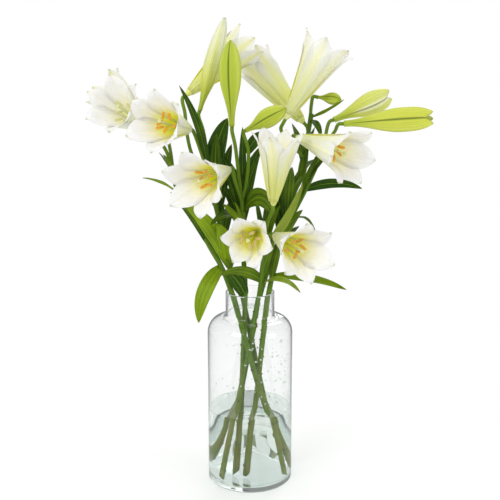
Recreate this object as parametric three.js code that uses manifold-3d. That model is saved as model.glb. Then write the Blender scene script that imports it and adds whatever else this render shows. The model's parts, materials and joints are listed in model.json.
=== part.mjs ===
// Lilies in a vase: six cut stems of white trumpet lilies standing in a clear glass vase of water.
// Millimetres, +Z up. The origin is the middle of the vase's base, and the bouquet's front looks along -Y.
import * as THREE from "three";
import { mergeVertices } from "three/addons/utils/BufferGeometryUtils.js";
import Module from "manifold-3d";

// ---------------------------------------------------------------- driving dimensions
const GAP = 0.3; // between pieces that rest on or in each other

const VASE_HEIGHT = 325;
const BODY_RADIUS = 70;
const NECK_RADIUS = 40;
const NECK_FILLET = 8;
const SHOULDER_BOTTOM = 255;
const SHOULDER_RISE = 27;
const FOOT_RADIUS = 6;
const WALL = 2.6;
const FLOOR = 8;
const INNER_CORNER = 9;
const VASE_SIDES = 32;
const WATER_LEVEL = 127;

const STEM_RADIUS = 4.7;
const HEAD_RADIUS = 3.9;
const STALK_RADIUS = 2.7;
const STEM_SIDES = 6;
const STALK_SIDES = 5;
const STALK_FLARE = 0.3;
const STALK_NECK = 8; // a stalk runs straight for this length before its flower
const HOLE_CLEARANCE = 0.45;
const HOLE_RUN = 8; // how far a stem's hole runs on below its cut end

const FLOWER_LENGTH = 134; // the length that the half widths below are for
const TEPAL_THICKNESS = 1.2;
const LAYER_OFFSET = 1.5; // inner tepals stand this far inside the tube's middle surface, outer ones outside
const SHORTEST_EDGE = 0.2;
const INNER_HALF_WIDTH = 27;
const OUTER_HALF_WIDTH = 22;
const TUBE_BASE = 4;
const TUBE_LOW = 19;
const TUBE_HIGH = 28;
const TEPAL_STEPS = [0.045, 0.25, 0.46, 0.66, 0.84];
const TEPAL_ACROSS = [-1, -0.36, 0.36, 1];

const RECEPTACLE = [
  [0, 3],
  [3, 5.9],
  [9, 6.9],
]; // height and radius
const RECEPTACLE_SIDES = 7;
const STAMEN_REACH = 0.64; // as a share of the flower's length, as is the style's
const STYLE_REACH = 0.78;
const STAMEN_RING = 11;
const STYLE_SIDES = 4;
const LEAF_THICKNESS = 1.3;
const LEAF_FOLD = 0.28; // depth of a leaf's channel as a share of its half width
const LEAF_STEPS = [0, 0.24, 0.54, 0.82];

// ---------------------------------------------------------------- where everything grows
// A stem's path runs from its cut end on the vase's floor to its head.
// A flower or bud: where its stalk leaves (a point near the stem), bends on the way, its base, the point that
// it looks at, its length and the roll about its axis. A flower also has the radius out to its tips. A bud has
// its girth, which is the radius where it is thickest, the share of its length where that is, and parted, which
// says how far its tips have come apart.
// A leaf: the height on the stem, or the point, that it grows from, its tip, its width, how far it arches
// over above its chord, and the twist of its blade about the chord in degrees.
const STEMS = [
  {
    path: [
      [52, -20, 9.5],
      [33, -28, 110],
      [10, -28, 185],
      [-29.5, -12.5, 325],
      [-47, -8, 369],
      [-65, -6, 401],
      [-91, -4, 450],
      [-116, -2, 492],
      [-124, 0, 527],
    ],
    flowers: [
      {
        id: 1, from: 522, via: [[-134, 6, 555]],
        base: [-160, 16, 585], at: [-206, -88, 637], length: 132, tip: 44, roll: 10,
      },
      {
        id: 2, from: 516, via: [[-128, 22, 552]],
        base: [-141, 44, 574], at: [-222, 62, 640], length: 134, tip: 33, roll: 25,
      },
    ],
    buds: [],
    leaves: [
      [406, [-125, -30, 493], 20, 8, 80],
      [368, [-82, -45, 284], 29, 14, -40],
      [486, [-175, 30, 507], 10, 6, 50],
      [524, [-137, -10, 550], 7, 2, 40],
      [390, [-100, 62, 430], 17, 14, 10],
      [438, [-82, 78, 500], 18, 16, 0],
      [470, [-150, 60, 545], 15, 10, 20],
    ],
  },
  {
    path: [
      [50, 16, 9.5],
      [17, 11, 167],
      [-17, 6, 325],
      [-36, -8, 375],
      [-49, -18, 446],
      [-57, -22, 482],
      [-64, -24, 514],
      [-67, -25, 526],
    ],
    flowers: [
      {
        id: 3, from: 520, via: [[-75, -24, 551]],
        base: [-92, -28, 590], at: [-143, -152, 616], length: 132, tip: 45, roll: 0,
      },
      {
        id: 4, from: 514, via: [[-91, 4, 545], [-101, 18, 582], [-104, 26, 612]],
        base: [-102, 32, 640], at: [0, 60, 727], length: 139, tip: 31, roll: 20,
      },
    ],
    buds: [
      {
        id: 1, from: 518, via: [[-68, -10, 552], [-74, 0, 587]],
        base: [-79, 4, 618], at: [-38, 2, 762], length: 149, girth: 13.5, peak: 0.46, parted: 0.1, roll: 25,
      },
    ],
    leaves: [
      [371, [-103, -60, 481], 30, 12, 60],
      [366, [-52, -52, 446], 28, 10, 50],
      [520, [-108, -42, 659], 14, 9, 65],
      [500, [-36, 40, 603], 34, 15, 30],
      [470, [-53, -2, 582], 25, 7, 15],
      [455, [-30, 48, 560], 22, 10, 20],
      [410, [-20, 72, 470], 18, 18, 0],
      [395, [-58, 62, 490], 18, 12, 10],
    ],
  },
  {
    path: [
      [-18, -6, 9],
      [-13, -5, 167],
      [-8, -5, 325],
      [-11, -10, 400],
      [-11, -14, 450],
      [-13, -16, 482],
    ],
    flowers: [
      {
        id: 5, from: 476, via: [[-23, -30, 510]],
        base: [-31, -44, 531], at: [-80, -152, 524], length: 132, tip: 48, roll: 15,
      },
    ],
    buds: [
      {
        id: 2, from: 478, via: [[-18, -20, 520], [-23, -25, 565]],
        base: [-28, -26, 596], at: [-29, -46, 727], length: 132, girth: 16.5, peak: 0.62, parted: 0, roll: -46,
      },
      {
        id: 3, from: 474, via: [[-4, -16, 520], [-3, -18, 560]],
        base: [-5, -21, 589], at: [54, -76, 627], length: 89, girth: 14.5, peak: 0.6, parted: 0, roll: 40,
      },
    ],
    leaves: [
      [440, [-62, -52, 444], 17, 16, -30],
      [462, [38, -56, 458], 33, 26, 70],
      [428, [-42, -52, 478], 13, 4, 60],
      [430, [-24, -46, 480], 8, 4, 60],
      [318, [-36, -40, 368], 26, 4, 60],
      [474, [18, 20, 560], 22, 6, 45],
      [440, [8, 40, 520], 18, 10, 30],
      [420, [-52, 40, 500], 18, 12, -20],
      [[-4, -18, 552], [35, 6, 580], 21, 10, 70],
      [466, [-12, 26, 590], 15, 6, 0],
      [444, [-46, 10, 548], 27, 8, -50],
      [440, [14, -4, 546], 19, 6, 75],
    ],
  },
  {
    path: [
      [-42, -28, 9.5],
      [-13, -16, 167],
      [16, -5, 325],
      [21, -18, 375],
      [23, -32, 420],
    ],
    flowers: [
      {
        id: 6, from: 418, via: [[14, -48, 432]],
        base: [11, -62, 436], at: [-5, -158, 438], length: 98, tip: 36, roll: 20,
      },
      {
        id: 7, from: 414, via: [[29, -48, 428]],
        base: [37, -64, 431], at: [80, -166, 426], length: 125, tip: 46, roll: 8,
      },
      {
        id: 8, from: 416, via: [[25, -50, 438], [30, -76, 462]],
        base: [35, -90, 482], at: [44, -104, 600], length: 114, tip: 38, roll: 10,
      },
    ],
    buds: [],
    leaves: [
      [344, [-48, -52, 364], 22, 12, 70],
      [345, [40, -46, 428], 16, 4, -35],
      [338, [80, -50, 335], 14, 16, 25],
      [400, [82, -46, 509], 16, -6, 75],
      [385, [48, -16, 470], 15, 6, 60],
      [395, [10, 30, 470], 15, 8, 20],
      [405, [34, 0, 505], 12, 6, 10],
    ],
  },
  {
    path: [
      [-42, 35, 9.5],
      [-12, 28, 167],
      [20, 18, 325],
      [49, 24, 408],
      [74, 28, 489],
      [87, 32, 514],
      [92, 36, 562],
      [99, 41, 610],
    ],
    flowers: [
      {
        id: 9, from: 538, via: [[62, 18, 566], [49, 8, 588]],
        base: [56, 4, 604], at: [123, 18, 720], length: 142, tip: 44, roll: 5,
      },
      {
        id: 10, from: 578, via: [],
        base: [88, 54, 594], at: [-2, 116, 702], length: 148, tip: 31, roll: 25,
      },
      {
        id: 11, from: 552, via: [[80, 0, 574]],
        base: [72, -38, 580], at: [150, -130, 559], length: 132, tip: 45, roll: 25,
      },
    ],
    buds: [
      {
        id: 4, from: 600, via: [[99, 43, 624]],
        base: [110, 43, 636], at: [146, 34, 632], length: 38, girth: 9.5, peak: 0.6, parted: 0, roll: 0,
      },
    ],
    leaves: [
      [450, [66, -18, 531], 21, 8, -10],
      [430, [20, 52, 535], 22, 6, -50],
      [600, [113, 10, 574], 12, 8, 20],
      [604, [150, 22, 634], 7, -2, 60],
      [470, [110, 92, 530], 17, 16, 0],
      [410, [40, 88, 470], 18, 16, 0],
      [520, [70, 92, 590], 15, 10, 0],
      [436, [40, 16, 556], 19, 6, 70],
      [500, [104, 24, 590], 13, 4, 70],
    ],
  },
  {
    path: [
      [-5, -8, 9],
      [13, -7, 167],
      [31, -6, 325],
      [54, 4, 417],
      [87, 14, 486],
      [112, 18, 541],
      [121, 15, 572],
    ],
    flowers: [],
    buds: [
      {
        id: 5, from: 562, via: [],
        base: [134, 20, 602], at: [222, 30, 642], length: 99, girth: 18, peak: 0.68, parted: 0.8, roll: 45,
      },
      {
        id: 6, from: 564, via: [[134, 6, 584]],
        base: [147, -10, 598], at: [284, -32, 609], length: 139, girth: 18.5, peak: 0.64, parted: 0.9, roll: 20,
      },
    ],
    leaves: [
      [352, [152, -58, 342], 18, 8, 40],
      [490, [184, 38, 488], 18, 10, 70],
      [440, [105, -20, 426], 7, 16, 20],
      [400, [84, -14, 462], 18, 6, -75],
      [500, [118, -12, 545], 12, 4, 60],
      [384, [82, 46, 424], 14, 8, 20],
      [520, [165, 70, 560], 14, 10, 10],
      [345, [52, -34, 428], 15, 4, -35],
      [470, [112, -6, 556], 12, 4, 70],
    ],
  },
];

// ---------------------------------------------------------------- solids
const wasm = await Module();
wasm.setup();

const vec = (p) => new THREE.Vector3(...p);

// A solid of a closed triangle mesh, turned to face outwards.
function solidOf(geometry) {
  const plain = new THREE.BufferGeometry();
  plain.setAttribute("position", geometry.getAttribute("position"));
  plain.setIndex(geometry.index);
  const merged = mergeVertices(plain, 1e-3);
  const triVerts = new Uint32Array(merged.index.array);
  const mesh = { numProp: 3, vertProperties: new Float32Array(merged.attributes.position.array), triVerts };
  const made = new wasm.Manifold(new wasm.Mesh(mesh));
  if (made.volume() > 0) return made;
  for (let i = 0; i < triVerts.length; i += 3) {
    [triVerts[i + 1], triVerts[i + 2]] = [triVerts[i + 2], triVerts[i + 1]];
  }
  return new wasm.Manifold(new wasm.Mesh(mesh));
}

// A solid skinned over rings of equal length. tip and root are points that its two ends draw in to.
function loft(rings, tip, root) {
  const sides = rings[0].length;
  const points = rings.flat();
  const faces = [];
  for (let i = 0; i + 1 < rings.length; i++) {
    for (let j = 0; j < sides; j++) {
      const a = i * sides + j;
      const b = i * sides + ((j + 1) % sides);
      faces.push(a, b, a + sides, b, b + sides, a + sides);
    }
  }
  const last = (rings.length - 1) * sides;
  const close = (first, point, turn) => {
    const cap = [];
    if (point) {
      points.push(point);
      for (let j = 0; j < sides; j++) cap.push([first + j, first + ((j + 1) % sides), points.length - 1]);
    } else {
      for (let j = 1; j + 1 < sides; j++) cap.push([first, first + j, first + j + 1]);
    }
    for (const face of cap) faces.push(...(turn ? face.reverse() : face));
  };
  close(0, root, true);
  close(last, tip, false);
  const geometry = new THREE.BufferGeometry().setFromPoints(points);
  geometry.setIndex(faces);
  return solidOf(geometry);
}

// Two directions across an axis. The first lies as near as it can to the hint.
function across(axis, hint) {
  const u = hint.clone().addScaledVector(axis, -hint.dot(axis)).normalize();
  return [u, new THREE.Vector3().crossVectors(axis, u)];
}

function ring(centre, u, v, radius, sides) {
  return Array.from({ length: sides }, (_, k) => {
    const a = (2 * Math.PI * k) / sides;
    return centre.clone().addScaledVector(u, radius * Math.cos(a)).addScaledVector(v, radius * Math.sin(a));
  });
}

const smoothCurve = (points) => new THREE.CatmullRomCurve3(points, false, "centripetal");

// A tapering rod bent at each of its points. endAxis sets the plane of its last ring.
function rod(points, radiusFrom, radiusTo, sides, endAxis) {
  const curve = smoothCurve(points);
  const count = points.length - 1;
  let hint = new THREE.Vector3(1, 0, 0);
  const rings = points.map((point, i) => {
    const axis = i === count && endAxis ? endAxis : curve.getTangent(i / count);
    const [u, v] = across(axis, hint);
    hint = u;
    return ring(point, u, v, THREE.MathUtils.lerp(radiusFrom, radiusTo, i / count), sides);
  });
  return loft(rings);
}

// ---------------------------------------------------------------- the vase and its water
function arc(cx, cz, rx, rz, from, to, steps) {
  return Array.from({ length: steps + 1 }, (_, i) => {
    const a = THREE.MathUtils.degToRad(from + ((to - from) * i) / steps);
    return new THREE.Vector2(cx + rx * Math.cos(a), cz + rz * Math.sin(a));
  });
}

function wallProfile(inset) {
  const shoulder = BODY_RADIUS - NECK_RADIUS - NECK_FILLET;
  const shoulderX = NECK_RADIUS + NECK_FILLET - inset;
  const top = SHOULDER_BOTTOM + SHOULDER_RISE;
  return [
    ...arc(shoulderX, SHOULDER_BOTTOM, shoulder, SHOULDER_RISE - inset, 0, 90, 4),
    ...arc(shoulderX, top + NECK_FILLET - inset, NECK_FILLET, NECK_FILLET, 270, 180, 2).slice(1),
  ];
}

function vaseProfile() {
  const rim = WALL / 2;
  const inner = BODY_RADIUS - WALL;
  return [
    new THREE.Vector2(0, 0),
    ...arc(BODY_RADIUS - FOOT_RADIUS, FOOT_RADIUS, FOOT_RADIUS, FOOT_RADIUS, -90, 0, 2),
    ...wallProfile(0),
    ...arc(NECK_RADIUS - rim, VASE_HEIGHT - rim, rim, rim, 0, 180, 2),
    ...wallProfile(WALL).reverse(),
    ...arc(inner - INNER_CORNER, FLOOR + INNER_CORNER, INNER_CORNER, INNER_CORNER, 0, -90, 2),
    new THREE.Vector2(0, FLOOR),
  ];
}

// Lathe geometry stands on the Y axis, so it is turned up to stand on Z.
function turned(profile) {
  return new THREE.LatheGeometry(profile, VASE_SIDES).rotateX(Math.PI / 2);
}

function waterSolid(stemHoles) {
  const radius = BODY_RADIUS - WALL - GAP;
  const corner = INNER_CORNER;
  const profile = [
    new THREE.Vector2(0, FLOOR + GAP),
    ...arc(radius - corner, FLOOR + GAP + corner, corner, corner, -90, 0, 2),
    new THREE.Vector2(radius, WATER_LEVEL),
    new THREE.Vector2(0, WATER_LEVEL),
  ];
  return stemHoles.reduce((water, hole) => water.subtract(hole), solidOf(turned(profile)));
}

// ---------------------------------------------------------------- leaves
// How wide a leaf is along its length, as a share of its greatest width.
const leafShape = (t) => 2.1 * Math.pow(t + 0.06, 0.6) * Math.pow(1 - t, 0.75);

function leaf(base, tip, width, arch, twist) {
  const chord = tip.clone().sub(base).normalize();
  const up = across(chord, new THREE.Vector3(0, 0, 1))[0];
  const middle = base.clone().add(tip).multiplyScalar(0.5).addScaledVector(up, 2 * arch);
  const curve = new THREE.QuadraticBezierCurve3(base, middle, tip);
  const turn = THREE.MathUtils.degToRad(twist);
  const rings = LEAF_STEPS.map((t) => {
    const along = curve.getTangent(t);
    const face = across(along, up)[0].applyAxisAngle(along, turn);
    const side = new THREE.Vector3().crossVectors(along, face);
    const half = (width / 2) * leafShape(t);
    const rib = curve.getPoint(t).addScaledVector(face, -LEAF_FOLD * half);
    return [
      curve.getPoint(t).addScaledVector(side, half),
      rib.clone().addScaledVector(face, LEAF_THICKNESS / 2),
      curve.getPoint(t).addScaledVector(side, -half),
      rib.clone().addScaledVector(face, -LEAF_THICKNESS / 2),
    ];
  });
  return loft(rings, tip);
}

// ---------------------------------------------------------------- flowers
// How wide a tepal is along its length, as a share of its greatest width.
const tepalShape = (t) => (0.12 + 1.2 * t) * (1 - Math.pow(Math.max(0, (t - 0.6) / 0.4), 1.3));

// Small flowers are a little broader for their length than large ones.
const sizeOf = (length) => Math.sqrt(length / FLOWER_LENGTH);

// A tepal's rib in the plane of the flower's axis: x is the distance from the axis, y the height along it.
function ribCurve(length, tipRadius) {
  const size = sizeOf(length);
  const flare = THREE.MathUtils.clamp((tipRadius - 28) / 18, 0, 1);
  return new THREE.CubicBezierCurve(
    new THREE.Vector2(TUBE_BASE, 0),
    new THREE.Vector2(TUBE_LOW * size, 0.45 * length),
    new THREE.Vector2(TUBE_HIGH * size, (0.8 + 0.06 * flare) * length),
    new THREE.Vector2(tipRadius, (1 - 0.03 * flare) * length),
  );
}

function tepal(flower, rib, angle, halfWidth, offset) {
  const { base, axis, u, v } = flower;
  const out = u.clone().multiplyScalar(Math.cos(angle)).addScaledVector(v, Math.sin(angle));
  const side = new THREE.Vector3().crossVectors(axis, out);
  const rings = TEPAL_STEPS.map((t) => {
    const at = rib.getPoint(t);
    const slope = rib.getTangent(t);
    const inward = axis.clone().multiplyScalar(slope.x).addScaledVector(out, -slope.y);
    const centre = base.clone().addScaledVector(axis, at.y).addScaledVector(out, at.x);
    centre.addScaledVector(inward, -offset * Math.min(1, t / 0.2));
    const half = halfWidth * tepalShape(t);
    const curl = at.x * (1 + 1.4 * Math.pow(Math.max(0, (t - 0.6) / 0.4), 1.5));
    const point = (a, lift) => {
      const turn = (a * half) / curl;
      const cup = curl * (1 - Math.cos(turn)) + lift * (TEPAL_THICKNESS / 2) * (1 - a * a);
      return centre.clone().addScaledVector(side, curl * Math.sin(turn)).addScaledVector(inward, cup);
    };
    const inside = TEPAL_ACROSS.map((a) => point(a, 1));
    const outside = TEPAL_ACROSS.slice(1, -1).map((a) => point(a, -1));
    return [...inside, ...outside.reverse()];
  });
  const end = rib.getPoint(1);
  const tip = base.clone().addScaledVector(axis, end.y).addScaledVector(out, end.x);
  return loft(rings, tip);
}

function frameOf({ base, at, roll = 0 }) {
  const origin = vec(base);
  const axis = vec(at).sub(origin).normalize();
  const hint = Math.abs(axis.z) > 0.9 ? new THREE.Vector3(1, 0, 0) : new THREE.Vector3(0, 0, 1);
  const u = across(axis, hint)[0].applyAxisAngle(axis, THREE.MathUtils.degToRad(roll));
  return { base: origin, axis, u, v: new THREE.Vector3().crossVectors(axis, u) };
}

function discs(frame, rows, sides) {
  return loft(
    rows.map(([height, radius]) => {
      const centre = frame.base.clone().addScaledVector(frame.axis, height);
      return ring(centre, frame.u, frame.v, radius, sides);
    }),
  );
}

function flowerSolid(spec) {
  const frame = frameOf(spec);
  const rib = ribCurve(spec.length, spec.tip);
  const pieces = [discs(frame, RECEPTACLE, RECEPTACLE_SIDES)];
  for (let k = 0; k < 6; k++) {
    const inner = k % 2 === 0;
    const half = inner ? INNER_HALF_WIDTH : OUTER_HALF_WIDTH;
    const offset = inner ? -LAYER_OFFSET : LAYER_OFFSET;
    pieces.push(tepal(frame, rib, (k * Math.PI) / 3, half * sizeOf(spec.length), offset));
  }
  // Where two tepals cross at a shallow angle the union leaves slivers, so the shortest edges are taken out.
  return wasm.Manifold.union(pieces).asOriginal().simplify(SHORTEST_EDGE);
}

// The pistil in the middle and six stamens round it, each with an anther across its end.
function stamensSolid(spec) {
  const frame = frameOf(spec);
  const { base, axis, u, v } = frame;
  const foot = RECEPTACLE.at(-1)[0] + GAP;
  const reach = STAMEN_REACH * spec.length;
  const style = STYLE_REACH * spec.length;
  const at = (height, radius, angle) => {
    const out = u.clone().multiplyScalar(Math.cos(angle)).addScaledVector(v, Math.sin(angle));
    return base.clone().addScaledVector(axis, height).addScaledVector(out, radius);
  };
  const pistil = [
    [foot, 3],
    [foot + 14, 1.8],
    [style, 1.2],
    [style + 3, 2.6],
  ];
  const pieces = [discs(frame, pistil, STYLE_SIDES)];
  for (let k = 0; k < 6; k++) {
    const angle = ((k + 0.5) * Math.PI) / 3;
    const root = at(foot + 3, 1, angle);
    const end = at(reach, STAMEN_RING, angle);
    const [p, q] = across(end.clone().sub(root).normalize(), axis);
    const anther = at(reach + 4, STAMEN_RING + 2, angle);
    const rings = [ring(root, p, q, 0.8, 3), ring(end, p, q, 0.7, 3), ring(anther, p, q, 2, 3)];
    pieces.push(loft(rings, at(reach + 7, STAMEN_RING + 7, angle)));
  }
  return wasm.Manifold.union(pieces);
}

// ---------------------------------------------------------------- buds
const BUD_STEPS = [0, 0.1, 0.24, 0.4, 0.56, 0.72, 0.86, 0.96];
const BUD_SIDES = 12;
const PARTED_END = 0.45; // width of a fully parted end as a share of the girth

// How thick a bud is along its length, as a share of its girth: a slim foot, a long body and a blunt point.
// Its end stays broad where its tips have parted.
function budShape(t, { peak, parted }) {
  const swell = Math.sin((Math.PI / 2) * Math.min(1, Math.pow(t / peak, 1.1)));
  const close = Math.pow(Math.max(0, (t - peak) / (1 - peak)), 2.5);
  const end = PARTED_END * parted;
  return (0.26 + 0.74 * swell * swell) * (end + (1 - end) * Math.pow(1 - close, 0.8));
}

// A closed bud: three broad ridges where the outer tepals' ribs run, with a furrow at each seam.
function budSolid(spec) {
  const { base, axis, u, v } = frameOf(spec);
  const rings = BUD_STEPS.map((t) => {
    const centre = base.clone().addScaledVector(axis, t * spec.length);
    const radius = spec.girth * budShape(t, spec);
    return Array.from({ length: BUD_SIDES }, (_, k) => {
      const a = (2 * Math.PI * k) / BUD_SIDES;
      const r = radius * (1 + 0.07 * Math.cos(3 * a) + 0.05 * Math.cos(6 * a));
      return centre.clone().addScaledVector(u, r * Math.cos(a)).addScaledVector(v, r * Math.sin(a));
    });
  });
  return loft(rings, base.clone().addScaledVector(axis, spec.length));
}

// ---------------------------------------------------------------- stems
function stemCurve(stem) {
  return smoothCurve(stem.path.map(vec));
}

// The point of a curve at a given height.
function pointAtHeight(curve, height) {
  let low = 0;
  let high = 1;
  for (let i = 0; i < 30; i++) {
    const mid = (low + high) / 2;
    if (curve.getPoint(mid).z < height) low = mid;
    else high = mid;
  }
  return curve.getPoint(low);
}

function stalk(curve, spec) {
  const { base, axis } = frameOf(spec);
  const end = base.clone().addScaledVector(axis, -GAP);
  const neck = base.clone().addScaledVector(axis, -STALK_NECK);
  const path = [pointAtHeight(curve, spec.from), ...spec.via.map(vec), neck, end];
  return rod(path, STALK_RADIUS, STALK_RADIUS + STALK_FLARE, STALK_SIDES, axis);
}

function stemSolid(stem) {
  const curve = stemCurve(stem);
  const pieces = [rod(stem.path.map(vec), STEM_RADIUS, HEAD_RADIUS, STEM_SIDES)];
  for (const spec of [...stem.flowers, ...stem.buds]) pieces.push(stalk(curve, spec));
  for (const [from, tip, width, arch, twist] of stem.leaves) {
    const base = Array.isArray(from) ? vec(from) : pointAtHeight(curve, from);
    pieces.push(leaf(base, vec(tip), width, arch, twist));
  }
  return wasm.Manifold.union(pieces);
}

// The hole that a stem leaves in the water, running on through the water's underside.
function stemHole(stem) {
  const [foot, next, top] = stem.path.slice(0, 3).map(vec);
  const below = foot.clone().lerp(next, -HOLE_RUN / (next.z - foot.z));
  const radius = STEM_RADIUS + HOLE_CLEARANCE;
  return rod([below, next, top], radius, radius, STEM_SIDES);
}

// ---------------------------------------------------------------- the object
const FINISH = {
  glass: { color: 0xe9f1ee, roughness: 0.05, metalness: 0, transparent: true, opacity: 0.3 },
  water: { color: 0xdfeeee, roughness: 0.05, metalness: 0, transparent: true, opacity: 0.4 },
  stem: { color: 0x4f7f22, roughness: 0.55, metalness: 0 },
  petal: { color: 0xf7f6ec, roughness: 0.5, metalness: 0 },
  bud: { color: 0xb7cc5a, roughness: 0.5, metalness: 0 },
  stamen: { color: 0xe08a1e, roughness: 0.7, metalness: 0 },
};

const group = new THREE.Group();
group.name = "lilies_in_a_vase";

function addNode(name, geometry, finish) {
  const mesh = new THREE.Mesh(geometry, new THREE.MeshStandardMaterial(FINISH[finish]));
  mesh.name = name;
  group.add(mesh);
}

function addSolid(name, solid, finish) {
  const { numProp, vertProperties, triVerts } = solid.getMesh();
  const position = new Float32Array((vertProperties.length / numProp) * 3);
  for (let i = 0; i < position.length / 3; i++) {
    position.set(vertProperties.subarray(i * numProp, i * numProp + 3), i * 3);
  }
  const geometry = new THREE.BufferGeometry();
  geometry.setAttribute("position", new THREE.BufferAttribute(position, 3));
  geometry.setIndex(new THREE.BufferAttribute(triVerts, 1));
  addNode(name, geometry, finish);
}

addNode("vase", turned(vaseProfile()), "glass");
addSolid("water", waterSolid(STEMS.map(stemHole)), "water");
STEMS.forEach((stem, i) => {
  addSolid(`stem_${i + 1}`, stemSolid(stem), "stem");
  for (const spec of stem.flowers) {
    addSolid(`flower_${spec.id}`, flowerSolid(spec), "petal");
    addSolid(`stamens_${spec.id}`, stamensSolid(spec), "stamen");
  }
  for (const spec of stem.buds) addSolid(`bud_${spec.id}`, budSolid(spec), "bud");
});

export default group;
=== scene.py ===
"""Lilies in a vase: white trumpet lilies on six leafy stems, in a clear glass vase of water.

The bouquet is listed and shaped in millimetres, with +Z up, the middle of the vase's base as the
origin and the front looking along -Y. Every piece becomes metres when its mesh is made.
"""

import json
import math
import random
from collections import namedtuple

import bmesh
import bpy
from mathutils import Matrix, Vector

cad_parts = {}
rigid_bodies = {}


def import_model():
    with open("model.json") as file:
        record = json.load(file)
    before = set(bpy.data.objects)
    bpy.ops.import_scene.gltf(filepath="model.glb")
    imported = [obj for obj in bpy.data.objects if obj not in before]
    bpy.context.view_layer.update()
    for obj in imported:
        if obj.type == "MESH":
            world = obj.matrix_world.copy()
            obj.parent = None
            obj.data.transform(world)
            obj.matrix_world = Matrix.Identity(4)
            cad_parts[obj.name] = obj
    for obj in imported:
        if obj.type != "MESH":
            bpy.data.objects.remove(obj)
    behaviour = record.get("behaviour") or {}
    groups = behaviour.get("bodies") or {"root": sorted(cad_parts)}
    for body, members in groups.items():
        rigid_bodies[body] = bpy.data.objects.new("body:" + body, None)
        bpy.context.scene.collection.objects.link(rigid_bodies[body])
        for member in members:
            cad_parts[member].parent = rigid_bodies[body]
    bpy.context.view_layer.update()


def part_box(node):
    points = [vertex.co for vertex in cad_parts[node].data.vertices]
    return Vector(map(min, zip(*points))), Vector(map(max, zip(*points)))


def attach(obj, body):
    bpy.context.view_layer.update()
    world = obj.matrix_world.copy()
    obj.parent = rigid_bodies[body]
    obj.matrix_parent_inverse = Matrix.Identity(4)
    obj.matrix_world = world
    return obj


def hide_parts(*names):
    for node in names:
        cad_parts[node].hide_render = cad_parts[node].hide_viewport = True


bl_info = {
    "name": "Lilies in a vase",
    "version": (1, 0, 0),
    "blender": (4, 5, 0),
    "location": "3D View > Sidebar > Lilies",
    "description": "Builds a loose bouquet of white trumpet lilies in a clear glass vase of water",
    "category": "Object",
}

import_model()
MILLIMETRE = 0.001

# ---- where everything grows
# A stem's path runs from its cut end on the vase's floor to its head.
Stem = namedtuple("Stem", "path flowers buds leaves")
# grows_from is the height at which the stalk leaves the stem, and via its bends. looks_at is the
# point that the flower faces. youth runs from 0, fully open and white, to 1, just open and still
# green outside. ripe runs from 0, pale closed anthers, to 1, orange with pollen.
Flower = namedtuple("Flower", "number grows_from via base looks_at length tip roll youth ripe")
# peak is where the bud is thickest. cream runs from 0, green, to 1, ripe and cream. parted is how
# far the tips have come apart.
Bud = namedtuple("Bud", "number grows_from via base looks_at length girth peak roll cream parted")
# grows_from is a height on the stem, or a point. arch is the rise of the blade over its chord, and
# twist turns its face about the chord in degrees. light runs from 0, dark, to 1, yellow-green; it
# holds the leaf's own tone together with painted shade on leaves in the shade and painted light on
# leaves in the light.
Leaf = namedtuple("Leaf", "grows_from tip width arch twist light")

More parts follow.
